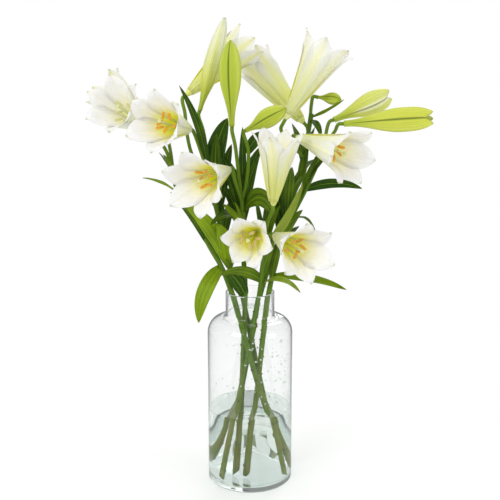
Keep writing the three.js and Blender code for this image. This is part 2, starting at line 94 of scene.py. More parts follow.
STEMS = (
    Stem(path=(
        (52, -20, 9.5), (33, -28, 110), (10, -28, 185), (-29.5, -12.5, 325), (-47, -8, 369),
        (-65, -6, 401), (-91, -4, 450), (-116, -2, 492), (-124, 0, 527),
    ), flowers=(
        Flower(1, 522, ((-134, 6, 555),), (-160, 16, 585), (-206, -88, 637), 132, 44, 10, 0, 0),
        Flower(
            2, 516, ((-128, 22, 552),),
            (-141, 44, 574), (-222, 62, 640), 134, 33, 25, 0.95, 0.7,
        ),
    ), buds=(), leaves=(
        Leaf(406, (-125, -30, 493), 20, 8, 80, 0.12),
        Leaf(368, (-82, -45, 284), 29, 14, -40, 0.8),
        Leaf(486, (-175, 30, 507), 10, 6, 50, 0.7),
        Leaf(524, (-137, -10, 550), 7, 2, 40, 0.5),
        Leaf(390, (-100, 62, 430), 17, 14, 10, 0.1),
        Leaf(438, (-82, 78, 500), 18, 16, 0, 0.15),
        Leaf(470, (-150, 60, 545), 15, 10, 20, 0.2),
    )),
    Stem(path=(
        (50, 16, 9.5), (17, 11, 167), (-17, 6, 325), (-36, -8, 375), (-49, -18, 446),
        (-57, -22, 482), (-64, -24, 514), (-67, -25, 526),
    ), flowers=(
        Flower(3, 520, ((-75, -24, 551),), (-92, -28, 590), (-143, -152, 616), 132, 45, 0, 0.1, 1),
        Flower(
            4, 514, ((-91, 4, 545), (-101, 18, 582), (-104, 26, 612)),
            (-102, 32, 640), (0, 60, 727), 139, 31, 20, 0.8, 1,
        ),
    ), buds=(
        Bud(
            1, 518, ((-68, -10, 552), (-74, 0, 587)),
            (-79, 4, 618), (-38, 2, 762), 149, 13.5, 0.46, 25, 1, 0.1,
        ),
    ), leaves=(
        Leaf(371, (-103, -60, 481), 30, 12, 60, 0.75),
        Leaf(366, (-52, -52, 446), 28, 10, 50, 0.8),
        Leaf(520, (-108, -42, 659), 14, 9, 65, 0.12),
        Leaf(500, (-36, 40, 603), 34, 15, 30, 0.05),
        Leaf(470, (-53, -2, 582), 25, 7, 15, 0.25),
        Leaf(455, (-30, 48, 560), 22, 10, 20, 0.05),
        Leaf(410, (-20, 72, 470), 18, 18, 0, 0.1),
        Leaf(395, (-58, 62, 490), 18, 12, 10, 0.1),
    )),
    Stem(path=(
        (-18, -6, 9), (-13, -5, 167), (-8, -5, 325), (-11, -10, 400), (-11, -14, 450),
        (-13, -16, 482),
    ), flowers=(
        Flower(5, 476, ((-23, -30, 510),), (-31, -44, 531), (-80, -152, 524), 132, 48, 15, 0.1, 1),
    ), buds=(
        Bud(
            2, 478, ((-18, -20, 520), (-23, -25, 565)),
            (-28, -26, 596), (-29, -46, 727), 132, 16.5, 0.62, -46, 0.1, 0,
        ),
        Bud(
            3, 474, ((-4, -16, 520), (-3, -18, 560)),
            (-5, -21, 589), (54, -76, 627), 89, 14.5, 0.6, 40, 0.15, 0,
        ),
    ), leaves=(
        Leaf(440, (-62, -52, 444), 17, 16, -30, 0.05),
        Leaf(462, (38, -56, 458), 33, 26, 70, 0.3),
        Leaf(428, (-42, -52, 478), 13, 4, 60, 0.5),
        Leaf(430, (-24, -46, 480), 8, 4, 60, 0.5),
        Leaf(318, (-36, -40, 368), 26, 4, 60, 0.08),
        Leaf(474, (18, 20, 560), 22, 6, 45, 0.1),
        Leaf(440, (8, 40, 520), 18, 10, 30, 0.1),
        Leaf(420, (-52, 40, 500), 18, 12, -20, 0.1),
        Leaf((-4, -18, 552), (35, 6, 580), 21, 10, 70, 0.12),
        Leaf(466, (-12, 26, 590), 15, 6, 0, 0.05),
        Leaf(444, (-46, 10, 548), 27, 8, -50, 0.05),
        Leaf(440, (14, -4, 546), 19, 6, 75, 0.15),
    )),
    Stem(path=(
        (-42, -28, 9.5), (-13, -16, 167), (16, -5, 325), (21, -18, 375), (23, -32, 420),
    ), flowers=(
        Flower(6, 418, ((14, -48, 432),), (11, -62, 436), (-5, -158, 438), 98, 36, 20, 0.5, 0.35),
        Flower(7, 414, ((29, -48, 428),), (37, -64, 431), (80, -166, 426), 125, 46, 8, 0.2, 0.9),
        Flower(
            8, 416, ((25, -50, 438), (30, -76, 462)),
            (35, -90, 482), (44, -104, 600), 114, 38, 10, 0.6, 1,
        ),
    ), buds=(), leaves=(
        Leaf(344, (-48, -52, 364), 22, 12, 70, 0.4),
        Leaf(345, (40, -46, 428), 16, 4, -35, 0.35),
        Leaf(338, (80, -50, 335), 14, 16, 25, 0.9),
        Leaf(400, (82, -46, 509), 16, -6, 75, 1),
        Leaf(385, (48, -16, 470), 15, 6, 60, 0.4),
        Leaf(395, (10, 30, 470), 15, 8, 20, 0.15),
        Leaf(405, (34, 0, 505), 12, 6, 10, 0.1),
    )),
    Stem(path=(
        (-42, 35, 9.5), (-12, 28, 167), (20, 18, 325), (49, 24, 408), (74, 28, 489),
        (87, 32, 514), (92, 36, 562), (99, 41, 610),
    ), flowers=(
        Flower(
            9, 538, ((62, 18, 566), (49, 8, 588)),
            (56, 4, 604), (123, 18, 720), 142, 44, 5, 0.3, 1,
        ),
        Flower(10, 578, (), (88, 54, 594), (-2, 116, 702), 148, 31, 25, 0.7, 1),
        Flower(11, 552, ((80, 0, 574),), (72, -38, 580), (150, -130, 559), 132, 45, 25, 0.15, 1),
    ), buds=(
        Bud(4, 600, ((99, 43, 624),), (110, 43, 636), (146, 34, 632), 38, 9.5, 0.6, 0, 0.1, 0),
    ), leaves=(
        Leaf(450, (66, -18, 531), 21, 8, -10, 0.2),
        Leaf(430, (20, 52, 535), 22, 6, -50, 0.05),
        Leaf(600, (113, 10, 574), 12, 8, 20, 0.15),
        Leaf(604, (150, 22, 634), 7, -2, 60, 0.6),
        Leaf(470, (110, 92, 530), 17, 16, 0, 0.1),
        Leaf(410, (40, 88, 470), 18, 16, 0, 0.1),
        Leaf(520, (70, 92, 590), 15, 10, 0, 0.15),
        Leaf(436, (40, 16, 556), 19, 6, 70, 0.1),
        Leaf(500, (104, 24, 590), 13, 4, 70, 0.15),
    )),
    Stem(path=(
        (-5, -8, 9), (13, -7, 167), (31, -6, 325), (54, 4, 417), (87, 14, 486),
        (112, 18, 541), (121, 15, 572),
    ), flowers=(), buds=(
        Bud(5, 562, (), (134, 20, 602), (222, 30, 642), 99, 18, 0.68, 45, 0.6, 0.8),
        Bud(
            6, 564, ((134, 6, 584),),
            (147, -10, 598), (284, -32, 609), 139, 18.5, 0.64, 20, 0.3, 0.9,
        ),
    ), leaves=(
        Leaf(352, (152, -58, 342), 18, 8, 40, 0.6),
        Leaf(490, (184, 38, 488), 18, 10, 70, 0.08),
        Leaf(440, (105, -20, 426), 7, 16, 20, 0.3),
        Leaf(400, (84, -14, 462), 18, 6, -75, 0.4),
        Leaf(500, (118, -12, 545), 12, 4, 60, 0.2),
        Leaf(384, (82, 46, 424), 14, 8, 20, 0.1),
        Leaf(520, (165, 70, 560), 14, 10, 10, 0.15),
        Leaf(345, (52, -34, 428), 15, 4, -35, 0.3),
        Leaf(470, (112, -6, 556), 12, 4, 70, 0.2),
    )),
)
FLOWERS = [flower for stem in STEMS for flower in stem.flowers]
BUDS = [bud for stem in STEMS for bud in stem.buds]

# ---- curves and directions
def mix(a, b, share):
    return a + (b - a) * share


def clamped(value):
    return max(0.0, min(1.0, value))


def bump(x, width):
    return math.exp(-((x / width) ** 2))


def across(axis, hint):
    """Two directions across an axis. The first lies as near as it can to the hint."""
    u = (hint - axis * hint.dot(axis)).normalized()
    return u, axis.cross(u)


def turned(u, v, angle):
    """The direction at an angle from u towards v."""
    return u * math.cos(angle) + v * math.sin(angle)


def around(centre, u, v, radius, angle):
    """The point of a circle at an angle from u."""
    return centre + u * (radius * math.cos(angle)) + v * (radius * math.sin(angle))


def circle(centre, u, v, radius, sides):
    return [around(centre, u, v, radius, math.tau * k / sides) for k in range(sides)]


def spline_point(points, share):
    """A point of the smooth curve through points, stepped by the roots of their distances."""
    last = len(points) - 1
    place = clamped(share) * last
    i = min(int(place), last - 1)
    w = place - i
    p1, p2 = points[i], points[i + 1]
    p0 = points[i - 1] if i else p1 * 2 - p2
    p3 = points[i + 2] if i + 2 <= last else p2 * 2 - p1
    d0, d1, d2 = (math.sqrt((b - a).length) for a, b in ((p0, p1), (p1, p2), (p2, p3)))
    start = ((p1 - p0) / d0 - (p2 - p0) / (d0 + d1) + (p2 - p1) / d1) * d1
    end = ((p2 - p1) / d1 - (p3 - p1) / (d1 + d2) + (p3 - p2) / d2) * d1
    square = (p2 - p1) * 3 - start * 2 - end
    cube = (p1 - p2) * 2 + start + end
    return p1 + start * w + square * w**2 + cube * w**3


def spline_direction(points, share):
    step = 0.001
    ahead = spline_point(points, min(1.0, share + step))
    return (ahead - spline_point(points, max(0.0, share - step))).normalized()


def point_at_height(points, height):
    """The point of a stem's curve at a given height."""
    low, high = 0.0, 1.0
    for _ in range(30):
        middle = (low + high) / 2
        if spline_point(points, middle).z < height:
            low = middle
        else:
            high = middle
    return spline_point(points, low)


def growth_frame(item, roll=0):
    """The base, the axis and two directions across it of a flower or bud."""
    base = Vector(item.base)
    axis = (Vector(item.looks_at) - base).normalized()
    hint = Vector((1, 0, 0)) if abs(axis.z) > 0.9 else Vector((0, 0, 1))
    u = Matrix.Rotation(math.radians(roll), 3, axis) @ across(axis, hint)[0]
    return base, axis, u, axis.cross(u)


# ---- skins
# What each point tells its finish: its place along and across the piece, whether it is on the
# outside or the underside, and the piece's shade. On a bud "outside" says how far it has parted,
# and on the vase it says how near the point is to the thick base.
MARKS = ("along", "across", "outside", "shade")
BALL_SIDES = 8
SIDEWAYS = Vector((0.3, 0.5, 0.8))  # a hint that no droplet, anther or scar lies along


def drop(blocks, name):
    """Removes what an earlier run made under this name."""
    if name in blocks:
        blocks.remove(blocks[name])


def new_object(name, data):
    drop(bpy.data.objects, name)
    made = bpy.data.objects.new(name, data)
    bpy.context.scene.collection.objects.link(made)
    return made


class Skin:
    """Points in millimetres, their marks, and faces with the number of their finish."""

    def __init__(self):
        self.points = []
        self.marks = []
        self.faces = []
        self.finishes = []

    def loft(self, rings, marks, tip=None, root=None, finish=0):
        """A closed skin over rings of points. Its ends draw in to tip and root, or are flat."""
        first, count = len(self.points), len(rings[0])
        known = len(self.faces)
        for ring, ring_marks in zip(rings, marks):
            self.points += ring
            self.marks += ring_marks
        for i in range(len(rings) - 1):
            for j in range(count):
                a = first + i * count + j
                b = first + i * count + (j + 1) % count
                self.faces.append((a, b, b + count, a + count))
        last = first + (len(rings) - 1) * count
        for start, end, end_marks in ((first, root, marks[0][0]), (last, tip, marks[-1][0])):
            edge = [start + j for j in range(count)]
            if end is None:
                self.faces.append(tuple(edge))
                continue
            self.points.append(end)
            self.marks.append(end_marks)
            centre = len(self.points) - 1
            self.faces += [(edge[j], edge[(j + 1) % count], centre) for j in range(count)]
        self.finishes += [finish] * (len(self.faces) - known)

    def rod(self, path, radius, sides, mark, rows, end_axis=None):
        """A smooth rod along path. radius and mark are functions of the share of its length."""
        rings, marks = [], []
        hint = Vector((1, 0, 0))
        for i in range(rows + 1):
            t = i / rows
            axis = end_axis if end_axis and i == rows else spline_direction(path, t)
            u, v = across(axis, hint)
            hint = u
            rings.append(circle(spline_point(path, t), u, v, radius(t), sides))
            marks.append([mark(t)] * sides)
        self.loft(rings, marks)

    def ball(self, centre, axis, half_length, radius, mark, finish=0, rows=6):
        """An egg-shaped skin, longest along axis."""
        u, v = across(axis, SIDEWAYS)
        rings = []
        for i in range(1, rows):
            a = math.pi * i / rows
            at = centre - axis * (half_length * math.cos(a))
            rings.append(circle(at, u, v, radius * math.sin(a), BALL_SIDES))
        ends = centre + axis * half_length, centre - axis * half_length
        self.loft(rings, [[mark] * BALL_SIDES] * len(rings), *ends, finish=finish)

    def blade(self, steps, rows, tip, finish=0):
        """A thin blade. Each row has its place along, its surface as a function of the place across
        and of the face, 1 or -1, its mark as a function of the place across, and its shade."""
        rings, marks = [], []
        for t, surface, mark, shade in rows:
            rings.append([surface(a, 1) for a in steps] + [surface(a, -1) for a in steps[-2:0:-1]])
            marks.append(
                [(t, a, mark(a), shade) for a in steps] + [(t, a, 1, shade) for a in steps[-2:0:-1]]
            )
        self.loft(rings, marks, tip, finish=finish)

    def piece(self, name, finishes, slot, *nodes):
        """The skin as one object that stands for the CAD nodes."""
        mesh = bpy.data.meshes.new(name)
        mesh.from_pydata([p * MILLIMETRE for p in self.points], [], self.faces)
        for finish in finishes:
            mesh.materials.append(finish)
        mesh.polygons.foreach_set("material_index", self.finishes)
        mesh.polygons.foreach_set("use_smooth", [True] * len(mesh.polygons))
        for i, mark in enumerate(MARKS):
            layer = mesh.attributes.new(mark, "FLOAT", "POINT")
            layer.data.foreach_set("value", [marks[i] for marks in self.marks])
        facing_out = bmesh.new()
        facing_out.from_mesh(mesh)
        bmesh.ops.recalc_face_normals(facing_out, faces=facing_out.faces)
        facing_out.to_mesh(mesh)
        facing_out.free()
        made = new_object(name, mesh)
        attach(made, "root")
        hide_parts(*nodes)
        return made


# ---- the vase and its water
VASE_SIDES = 144
BEND_STEPS = 8  # rings round a small bend
SHOULDER_STEPS = 16
RIM_STEPS = 10
BASE_TINT_TOP = 18  # height in millimetres over which the thick glass's tint fades
MENISCUS_WIDTH = 4.5
MENISCUS_STEPS = (0.12, 0.25, 0.4, 0.6, 0.8, 1)


def arc(cx, cz, rx, rz, start, end, steps):
    angles = [math.radians(mix(start, end, i / steps)) for i in range(steps + 1)]
    return [(cx + rx * math.cos(a), cz + rz * math.sin(a)) for a in angles]


def wall_profile(vase, inset):
    """The shoulder and the foot of the neck, bottom up. inset steps in from the outside."""
    fillet = vase.neck_fillet
    x = vase.neck_radius + fillet - inset
    top = vase.shoulder_bottom + vase.shoulder_rise
    bend = vase.body_radius - vase.neck_radius - fillet
    return [
        *arc(x, vase.shoulder_bottom, bend, vase.shoulder_rise - inset, 0, 90, SHOULDER_STEPS),
        *arc(x, top + fillet - inset, fillet, fillet, 270, 180, BEND_STEPS)[1:],
    ]


def lathe(profile, marks):
    """A skin turned about the vase's axis. The profile starts and ends on the axis."""
    skin = Skin()
    rings = []
    for radius, height in profile[1:-1]:
        centre = Vector((0, 0, height))
        rings.append(circle(centre, Vector((1, 0, 0)), Vector((0, 1, 0)), radius, VASE_SIDES))
    ends = (Vector((0, 0, profile[-1][1])), Vector((0, 0, profile[0][1])))
    skin.loft(rings, [[mark] * VASE_SIDES for mark in marks[1:-1]], *ends)
    return skin


def vase_skin(vase):
    rim = vase.wall / 2
    inner = vase.body_radius - vase.wall
    foot, corner, floor = vase.foot_radius, vase.inner_corner, vase.floor
    profile = [
        (0, 0),
        (vase.body_radius * 0.5, 0),
        *arc(vase.body_radius - foot, foot, foot, foot, -90, 0, BEND_STEPS),
        *wall_profile(vase, 0),
        *arc(vase.neck_radius - rim, vase.height - rim, rim, rim, 0, 180, RIM_STEPS),
        *wall_profile(vase, vase.wall)[::-1],
        *arc(inner - corner, floor + corner, corner, corner, 0, -90, BEND_STEPS),
        (inner * 0.4, floor),
        (0, floor),
    ]
    return lathe(
        profile, [(z / vase.height, 0, clamped(1.4 - z / BASE_TINT_TOP), 0) for _, z in profile]
    )


def water_skin(vase):
    """Water with a slight rise where it climbs the glass. It meets the inside of the wall."""
    radius = vase.body_radius - vase.wall + vase.wetting
    corner, level, climb = vase.inner_corner, vase.water_level, vase.meniscus
    bottom = vase.floor - vase.wetting
    profile = [
        (0, bottom),
        *arc(radius - corner, bottom + corner, corner, corner, -90, 0, BEND_STEPS),
        (radius, level + climb),
        *[(radius - MENISCUS_WIDTH * s, level + climb * (1 - s) ** 2.2) for s in MENISCUS_STEPS],
        (radius * 0.6, level),
        (0, level),
    ]
    return lathe(profile, [(z / level, 0, 0, 0) for _, z in profile])


SPLASHES_ON_THE_RIGHT = 0.7  # share of the droplets
SPLASH_TURN, SPLASH_SPREAD = -56, 22  # degrees round the vase from +X
SPLASH_LOWEST, SPLASH_REACH = 8, 125  # millimetres above the water
DROPLET_RADIUS = (0.8, 1.7)
LARGE_DROPLETS = 0.15  # share of the droplets
DROPLET_SINK = 0.18  # how far a droplet lies in the glass, as a share of its radius


def droplets_skin(vase):
    """Splashes that cling to the inside of the glass, most of them on its right above the water."""
    chance = random.Random(11)
    skin = Skin()
    inside = vase.body_radius - vase.wall
    for _ in range(vase.droplets):
        right = chance.random() < SPLASHES_ON_THE_RIGHT
        turn = chance.gauss(SPLASH_TURN, SPLASH_SPREAD) if right else chance.uniform(0, 360)
        height = vase.water_level + SPLASH_LOWEST + SPLASH_REACH * chance.random() ** 1.2
        radius = chance.uniform(*DROPLET_RADIUS) * (1.6 if chance.random() < LARGE_DROPLETS else 1)
        outward = Vector((math.cos(math.radians(turn)), math.sin(math.radians(turn)), 0))
        centre = outward * (inside - radius * DROPLET_SINK) + Vector((0, 0, height))
        skin.ball(centre, outward, radius * 0.7, radius, (0, 0, 0, 0))
    return skin


# ---- leaves
LEAF_ACROSS = (  # places across a blade, from edge to edge
    -1, -0.96, -0.82, -0.62, -0.42, -0.22, -0.08, 0, 0.08, 0.22, 0.42, 0.62, 0.82, 0.96, 1,
)
LEAF_ROWS = 24


def leaf_shape(t):
    """How wide a leaf is along its length, as a share of its greatest width."""
    return 2.1 * (t + 0.06) ** 0.6 * (1 - t) ** 0.75


def add_leaf(skin, leaf, base, green, chance, finish):
    tip = Vector(leaf.tip)
    chord = (tip - base).normalized()
    up = across(chord, Vector((0, 0, 1)))[0]
    middle = (base + tip) / 2 + up * (2 * leaf.arch)
    turn = math.radians(leaf.twist)
    phase, waves, curl = chance.uniform(0, 6), chance.uniform(1.2, 2.1), chance.uniform(-0.25, 0.35)
    shade = clamped(leaf.light + chance.uniform(-0.05, 0.05))

    def row(t):
        point = base * (1 - t) ** 2 + middle * (2 * t * (1 - t)) + tip * t**2
        along = ((middle - base) * (1 - t) + (tip - middle) * t).normalized()
        face = Matrix.Rotation(turn + curl * (t - 0.3), 3, along) @ across(along, up)[0]
        side = along.cross(face)
        half = leaf.width / 2 * leaf_shape(t)

        def surface(a, lift):
            dip = green.leaf_fold * half * (1 - abs(a) ** 1.4)
            wave = green.leaf_wave * half * a * a * math.sin(math.tau * waves * t + phase + a)
            thick = lift * green.leaf_thickness / 2 * math.sqrt(1 - a * a)
            return point + side * (a * half) + face * (wave + thick - dip)

        return t, surface, lambda a: 0, shade

    rows = [row(0.985 * (i / LEAF_ROWS) ** 0.9) for i in range(LEAF_ROWS + 1)]
    skin.blade(LEAF_ACROSS, rows, tip, finish)


# ---- flowers
TEPAL_ACROSS = (
    -1, -0.97, -0.86, -0.7, -0.5, -0.3, -0.15, -0.06, 0, 0.06, 0.15, 0.3, 0.5, 0.7, 0.86, 0.97, 1,
)
TEPAL_ROWS = 28
TEPAL_ROOT = 0.045  # where a tepal starts along its rib
TUBE_BASE = 4  # the rib's distances from the flower's axis, in millimetres
TUBE_LOW = 19
TUBE_HIGH = 28
FLARE_FROM, FLARE_OVER = 28, 18  # where the tips start to flare, and over what distance
RECEPTACLE = ((0, 3), (2, 4), (4.5, 5.1), (7, 5.9), (9.5, 6.4))  # height and radius
RECEPTACLE_SIDES = 20


def tepal_shape(t):
    """How wide a tepal is along its length, as a share of its greatest width."""
    return (0.12 + 1.2 * t) * (1 - max(0, (t - 0.6) / 0.4) ** 1.3)


def rib_point(length, tip, size, t):
    """A tepal's rib: its distance from the flower's axis, its height, and the slope there."""
    flare = clamped((tip - FLARE_FROM) / FLARE_OVER)
    a, b, c, d = (
        Vector((TUBE_BASE, 0)),
        Vector((TUBE_LOW * size, 0.45 * length)),
        Vector((TUBE_HIGH * size, (0.8 + 0.06 * flare) * length)),
        Vector((tip, (1 - 0.03 * flare) * length)),
    )
    s = 1 - t
    at = a * s**3 + b * (3 * s * s * t) + c * (3 * s * t * t) + d * t**3
    slope = (b - a) * (s * s) + (c - b) * (2 * s * t) + (d - c) * (t * t)
    return at, slope.normalized()


def add_tepal(skin, frame, flower, angle, half_width, offset, bloom, chance):
    base, axis, u, v = frame
    size = math.sqrt(flower.length / bloom.usual_length)
    out = turned(u, v, angle)
    level_side = axis.cross(out)
    tip = flower.tip + chance.uniform(-2.5, 2.5)
    sway, twist = chance.uniform(-3, 3), math.radians(chance.uniform(-9, 9))
    phase, waves = chance.uniform(0, 6), chance.uniform(1.6, 2.6)

    def row(t):
        at, slope = rib_point(flower.length, tip, size, t)
        free = clamped((t - 0.4) / 0.6)
        inward = axis * slope.x - out * slope.y
        forward = axis * slope.y + out * slope.x
        twisted = Matrix.Rotation(twist * free**2, 3, forward)
        inward, side = twisted @ inward, twisted @ level_side
        centre = base + axis * at.y + out * at.x + level_side * (sway * free**2)
        centre -= inward * (offset * min(1, t / 0.2) + bloom.recurve * max(0, (t - 0.8) / 0.2) ** 2)
        half = half_width * size * tepal_shape(t)
        thick = bloom.thickness * (1 + 0.9 * max(0, (t - 0.85) / 0.15))
        curl = at.x * (1 + 1.4 * max(0, (t - 0.6) / 0.4) ** 1.5)

        def surface(a, lift):
            turn = a * half / curl
            cup = curl * (1 - math.cos(turn)) + lift * thick / 2 * math.sqrt(1 - a * a)
            cup -= bloom.midrib * bump(a, 0.1) * (1 - t * 0.6)
            cup += 0.35 * bloom.midrib * bump(abs(a) - 0.3, 0.12)
            cup += bloom.ruffle * free * a * a * math.sin(math.tau * waves * t + phase + 1.3 * a)
            cup -= bloom.rolled_edge * free * (1 + 1.5 * free**4) * abs(a) ** 2.4 * half
            return centre + side * (curl * math.sin(turn)) + inward * cup

        return t, surface, lambda a: 1 if abs(a) > 0.8 else 0, flower.youth

    rows = [row(TEPAL_ROOT + 0.945 * (i / TEPAL_ROWS) ** 0.93) for i in range(TEPAL_ROWS + 1)]
    at, slope = rib_point(flower.length, tip, size, 1)
    point = base + axis * at.y + out * at.x + level_side * sway
    point -= (axis * slope.x - out * slope.y) * (offset + bloom.recurve)
    skin.blade(TEPAL_ACROSS, rows, point)


def flower_skin(flower, bloom):
    frame = growth_frame(flower, flower.roll)
    base, axis, u, v = frame
    chance = random.Random(flower.number)
    skin = Skin()
    rings = [
        circle(base + axis * height, u, v, radius, RECEPTACLE_SIDES)
        for height, radius in RECEPTACLE
    ]
    skin.loft(rings, [[(0, 0.5, 1, flower.youth)] * RECEPTACLE_SIDES] * len(RECEPTACLE))
    for k in range(6):
        inner = k % 2 == 0
        half = bloom.inner_half_width if inner else bloom.outer_half_width
        offset = -bloom.layer_offset if inner else bloom.layer_offset
        add_tepal(skin, frame, flower, k * math.pi / 3, half, offset, bloom, chance)
    return skin


STAMEN_FOOT = 9.3  # height in millimetres above the flower's base
STAMEN_REACH = 0.64  # as a share of the flower's length, as is the style's
STYLE_REACH = 0.78
STAMEN_BEND = 7.4  # distance of a filament from the axis, halfway up
STIGMA = ((0, 1.1), (1, 2.4), (2.2, 3.1), (3.2, 2.7), (3.6, 1.5))  # height and radius
STIGMA_SIDES = 18
STIGMA_LOBE = 0.22  # how far its three lobes stand out, as a share of the radius
ANTHER_HALF_LENGTH = 6.4
ANTHER_RADIUS = 1.45
ANTHER_LOBES = (-0.95, 0.95)  # how far each lobe lies to the side


def stamens_skin(flower):
    """The pistil with its three-lobed stigma, and six filaments with anthers across their ends."""
    base, axis, u, v = growth_frame(flower, flower.roll)
    chance = random.Random(100 + flower.number)
    skin = Skin()
    reach, style = STAMEN_REACH * flower.length, STYLE_REACH * flower.length
    bend = u * chance.uniform(-3, 3) + v * chance.uniform(-3, 3)
    path = [
        base + axis * STAMEN_FOOT,
        base + axis * (style * 0.5) + bend * 0.3,
        base + axis * style + bend * 0.5,
    ]
    skin.rod(path, lambda t: 1.1 + 1.9 * (1 - t) ** 5, 8, lambda t: (t, 0, 0, 0), 14)
    turns = [math.tau * k / STIGMA_SIDES for k in range(STIGMA_SIDES)]
    rings = []
    for height, radius in STIGMA:
        centre = path[-1] + axis * height
        lobed = [radius * (1 + STIGMA_LOBE * math.cos(3 * a)) for a in turns]
        rings.append([around(centre, u, v, r, a) for r, a in zip(lobed, turns)])
    skin.loft(rings, [[(1, 0, 0, 0)] * STIGMA_SIDES] * len(rings), finish=2)
    for k in range(6):
        out = turned(u, v, (k + 0.5) * math.pi / 3)
        side = axis.cross(out)
        end = base + axis * (reach + chance.uniform(-6, 4)) + out * chance.uniform(7, 12)
        end += side * chance.uniform(-4, 4)
        root = base + axis * (STAMEN_FOOT + 3) + out
        path = [root, base + axis * (0.55 * reach) + out * STAMEN_BEND, end]
        skin.rod(path, lambda t: 0.85 - 0.25 * t, 6, lambda t: (t, 0, 0, 0), 10)
        long_way = (out * 0.7 + axis * 0.5 + side * chance.uniform(-1, 1)).normalized()
        middle = end + out * 1.6 + axis * 1.2
        for lobe in ANTHER_LOBES:
            centre = middle + across(long_way, axis)[1] * lobe
            pollen = (1, 0, 0, flower.ripe)
            skin.ball(centre, long_way, ANTHER_HALF_LENGTH, ANTHER_RADIUS, pollen, finish=1, rows=8)
    return skin


# ---- buds
BUD_ROWS = 44
BUD_SIDES = 48
PARTED_END = 0.45  # width of a fully parted end as a share of the girth


def bud_shape(t, bud):
    """How thick a bud is along its length, as a share of its girth. A parted end stays broad."""
    swell = math.sin(math.pi / 2 * min(1, (t / bud.peak) ** 1.1))
    close = max(0, (t - bud.peak) / (1 - bud.peak)) ** 2.5
    end = PARTED_END * bud.parted
    return (0.26 + 0.74 * swell * swell) * (end + (1 - end) * (1 - close) ** 0.8)


def bud_skin(bud):
    """Three ribbed outer tepals that meet in furrows. Their tips part as the bud begins to open."""
    base, axis, u, v = growth_frame(bud, bud.roll)
    skin = Skin()
    rings, marks = [], []
    for i in range(BUD_ROWS + 1):
        t = 0.99 * (i / BUD_ROWS) ** 0.9
        loose = bud.parted * max(0, (t - 0.7) / 0.3)
        ring, ring_marks = [], []
        for k in range(BUD_SIDES):
            a = math.tau * k / BUD_SIDES
            rib = math.cos(3 * a)
            seam = math.acos(max(-1, min(1, -rib))) / 3
            radius = bud.girth * bud_shape(t, bud)
            radius *= 1 + 0.07 * rib + 0.05 * math.cos(6 * a) + 0.12 * loose * rib
            radius -= 0.16 * radius * bump(seam, 0.09) * min(1, 5 * t)
            radius += 0.025 * radius * math.cos(18 * a + 1) * min(1, 4 * t)
            height = bud.length * (t - 0.05 * loose**2 * (1 - rib))
            ring.append(around(base + axis * height, u, v, radius, a))
            ring_marks.append((t, seam, bud.parted, bud.cream))
        rings.append(ring)
        marks.append(ring_marks)
    hollow = 0.16 * bud.parted
    skin.loft(rings, marks, base + axis * (bud.length * (1 - hollow)))
    return skin


# ---- stems
STEM_RADIUS = 4.6
HEAD_RADIUS = 3.8
STEM_SIDES = 14
STEM_ROWS = 90
CUT_DEPTH = 4  # half the height of the slanting cut
STALK_RADIUS = 2.7
STALK_FLARE = 0.3
STALK_NECK = 8  # a stalk runs straight for this length before its flower
STALK_GAP = 0.3
HEIGHT_SCALE = 600  # the height that a stem's mark counts as one
SCARS_TOP = 300
SCAR_OUT = 4.4  # distance of a scar's middle from the stem's axis
SCAR_HALF_LENGTH = 2.9
SCAR_RADIUS = 1.6


def add_scars(skin, path, chance):
    """Small brown marks where the lower leaves were stripped off."""
    height = chance.uniform(18, 30)
    while height < SCARS_TOP:
        centre = point_at_height(path, height)
        ahead = (point_at_height(path, height + 4) - centre).normalized()
        u, v = across(ahead, Vector((1, 0, 0)))
        out = turned(u, v, chance.uniform(0, math.tau))
        mark = (height / HEIGHT_SCALE, 0, 0, 1)
        place = centre + out * SCAR_OUT
        skin.ball(place, ahead.cross(out), SCAR_HALF_LENGTH, SCAR_RADIUS, mark, finish=1)
        height += chance.uniform(15, 30)


def stem_skin(stem, number, green):
    """A stem with its cut end on the floor of the vase, its stalks and its leaves."""
    path = [Vector(p) for p in stem.path]
    chance = random.Random(40 + number)
    skin = Skin()
    phase = chance.uniform(0, 6)

    def stem_radius(t):
        return mix(STEM_RADIUS, HEAD_RADIUS, t) * (1 + 0.04 * math.sin(31 * t + phase))

    def stem_mark(t):
        return (spline_point(path, t).z / HEIGHT_SCALE, 0, 0, 0.3 + 0.1 * math.sin(9 * t + phase))

    skin.rod(path, stem_radius, STEM_SIDES, stem_mark, STEM_ROWS)
    ahead = spline_direction(path, 0)
    for i in range(STEM_SIDES):
        skin.points[i] += ahead * (CUT_DEPTH * (1 + math.cos(math.tau * i / STEM_SIDES + phase)))
    add_scars(skin, path, chance)
    for item in (*stem.flowers, *stem.buds):
        base, axis, _, _ = growth_frame(item)
        stalk = [point_at_height(path, item.grows_from), *[Vector(p) for p in item.via]]
        stalk += [base - axis * STALK_NECK, base - axis * STALK_GAP]
        skin.rod(
            stalk,
            lambda t: STALK_RADIUS + STALK_FLARE * t,
            10,
            lambda t: (0.9, 0, 0, 0.5 + 0.4 * t),
            22,
            end_axis=axis,
        )
    for leaf in stem.leaves:
        start = leaf.grows_from
        base = Vector(start) if isinstance(start, tuple) else point_at_height(path, start)
        add_leaf(skin, leaf, base, green, chance, 2)
    return skin


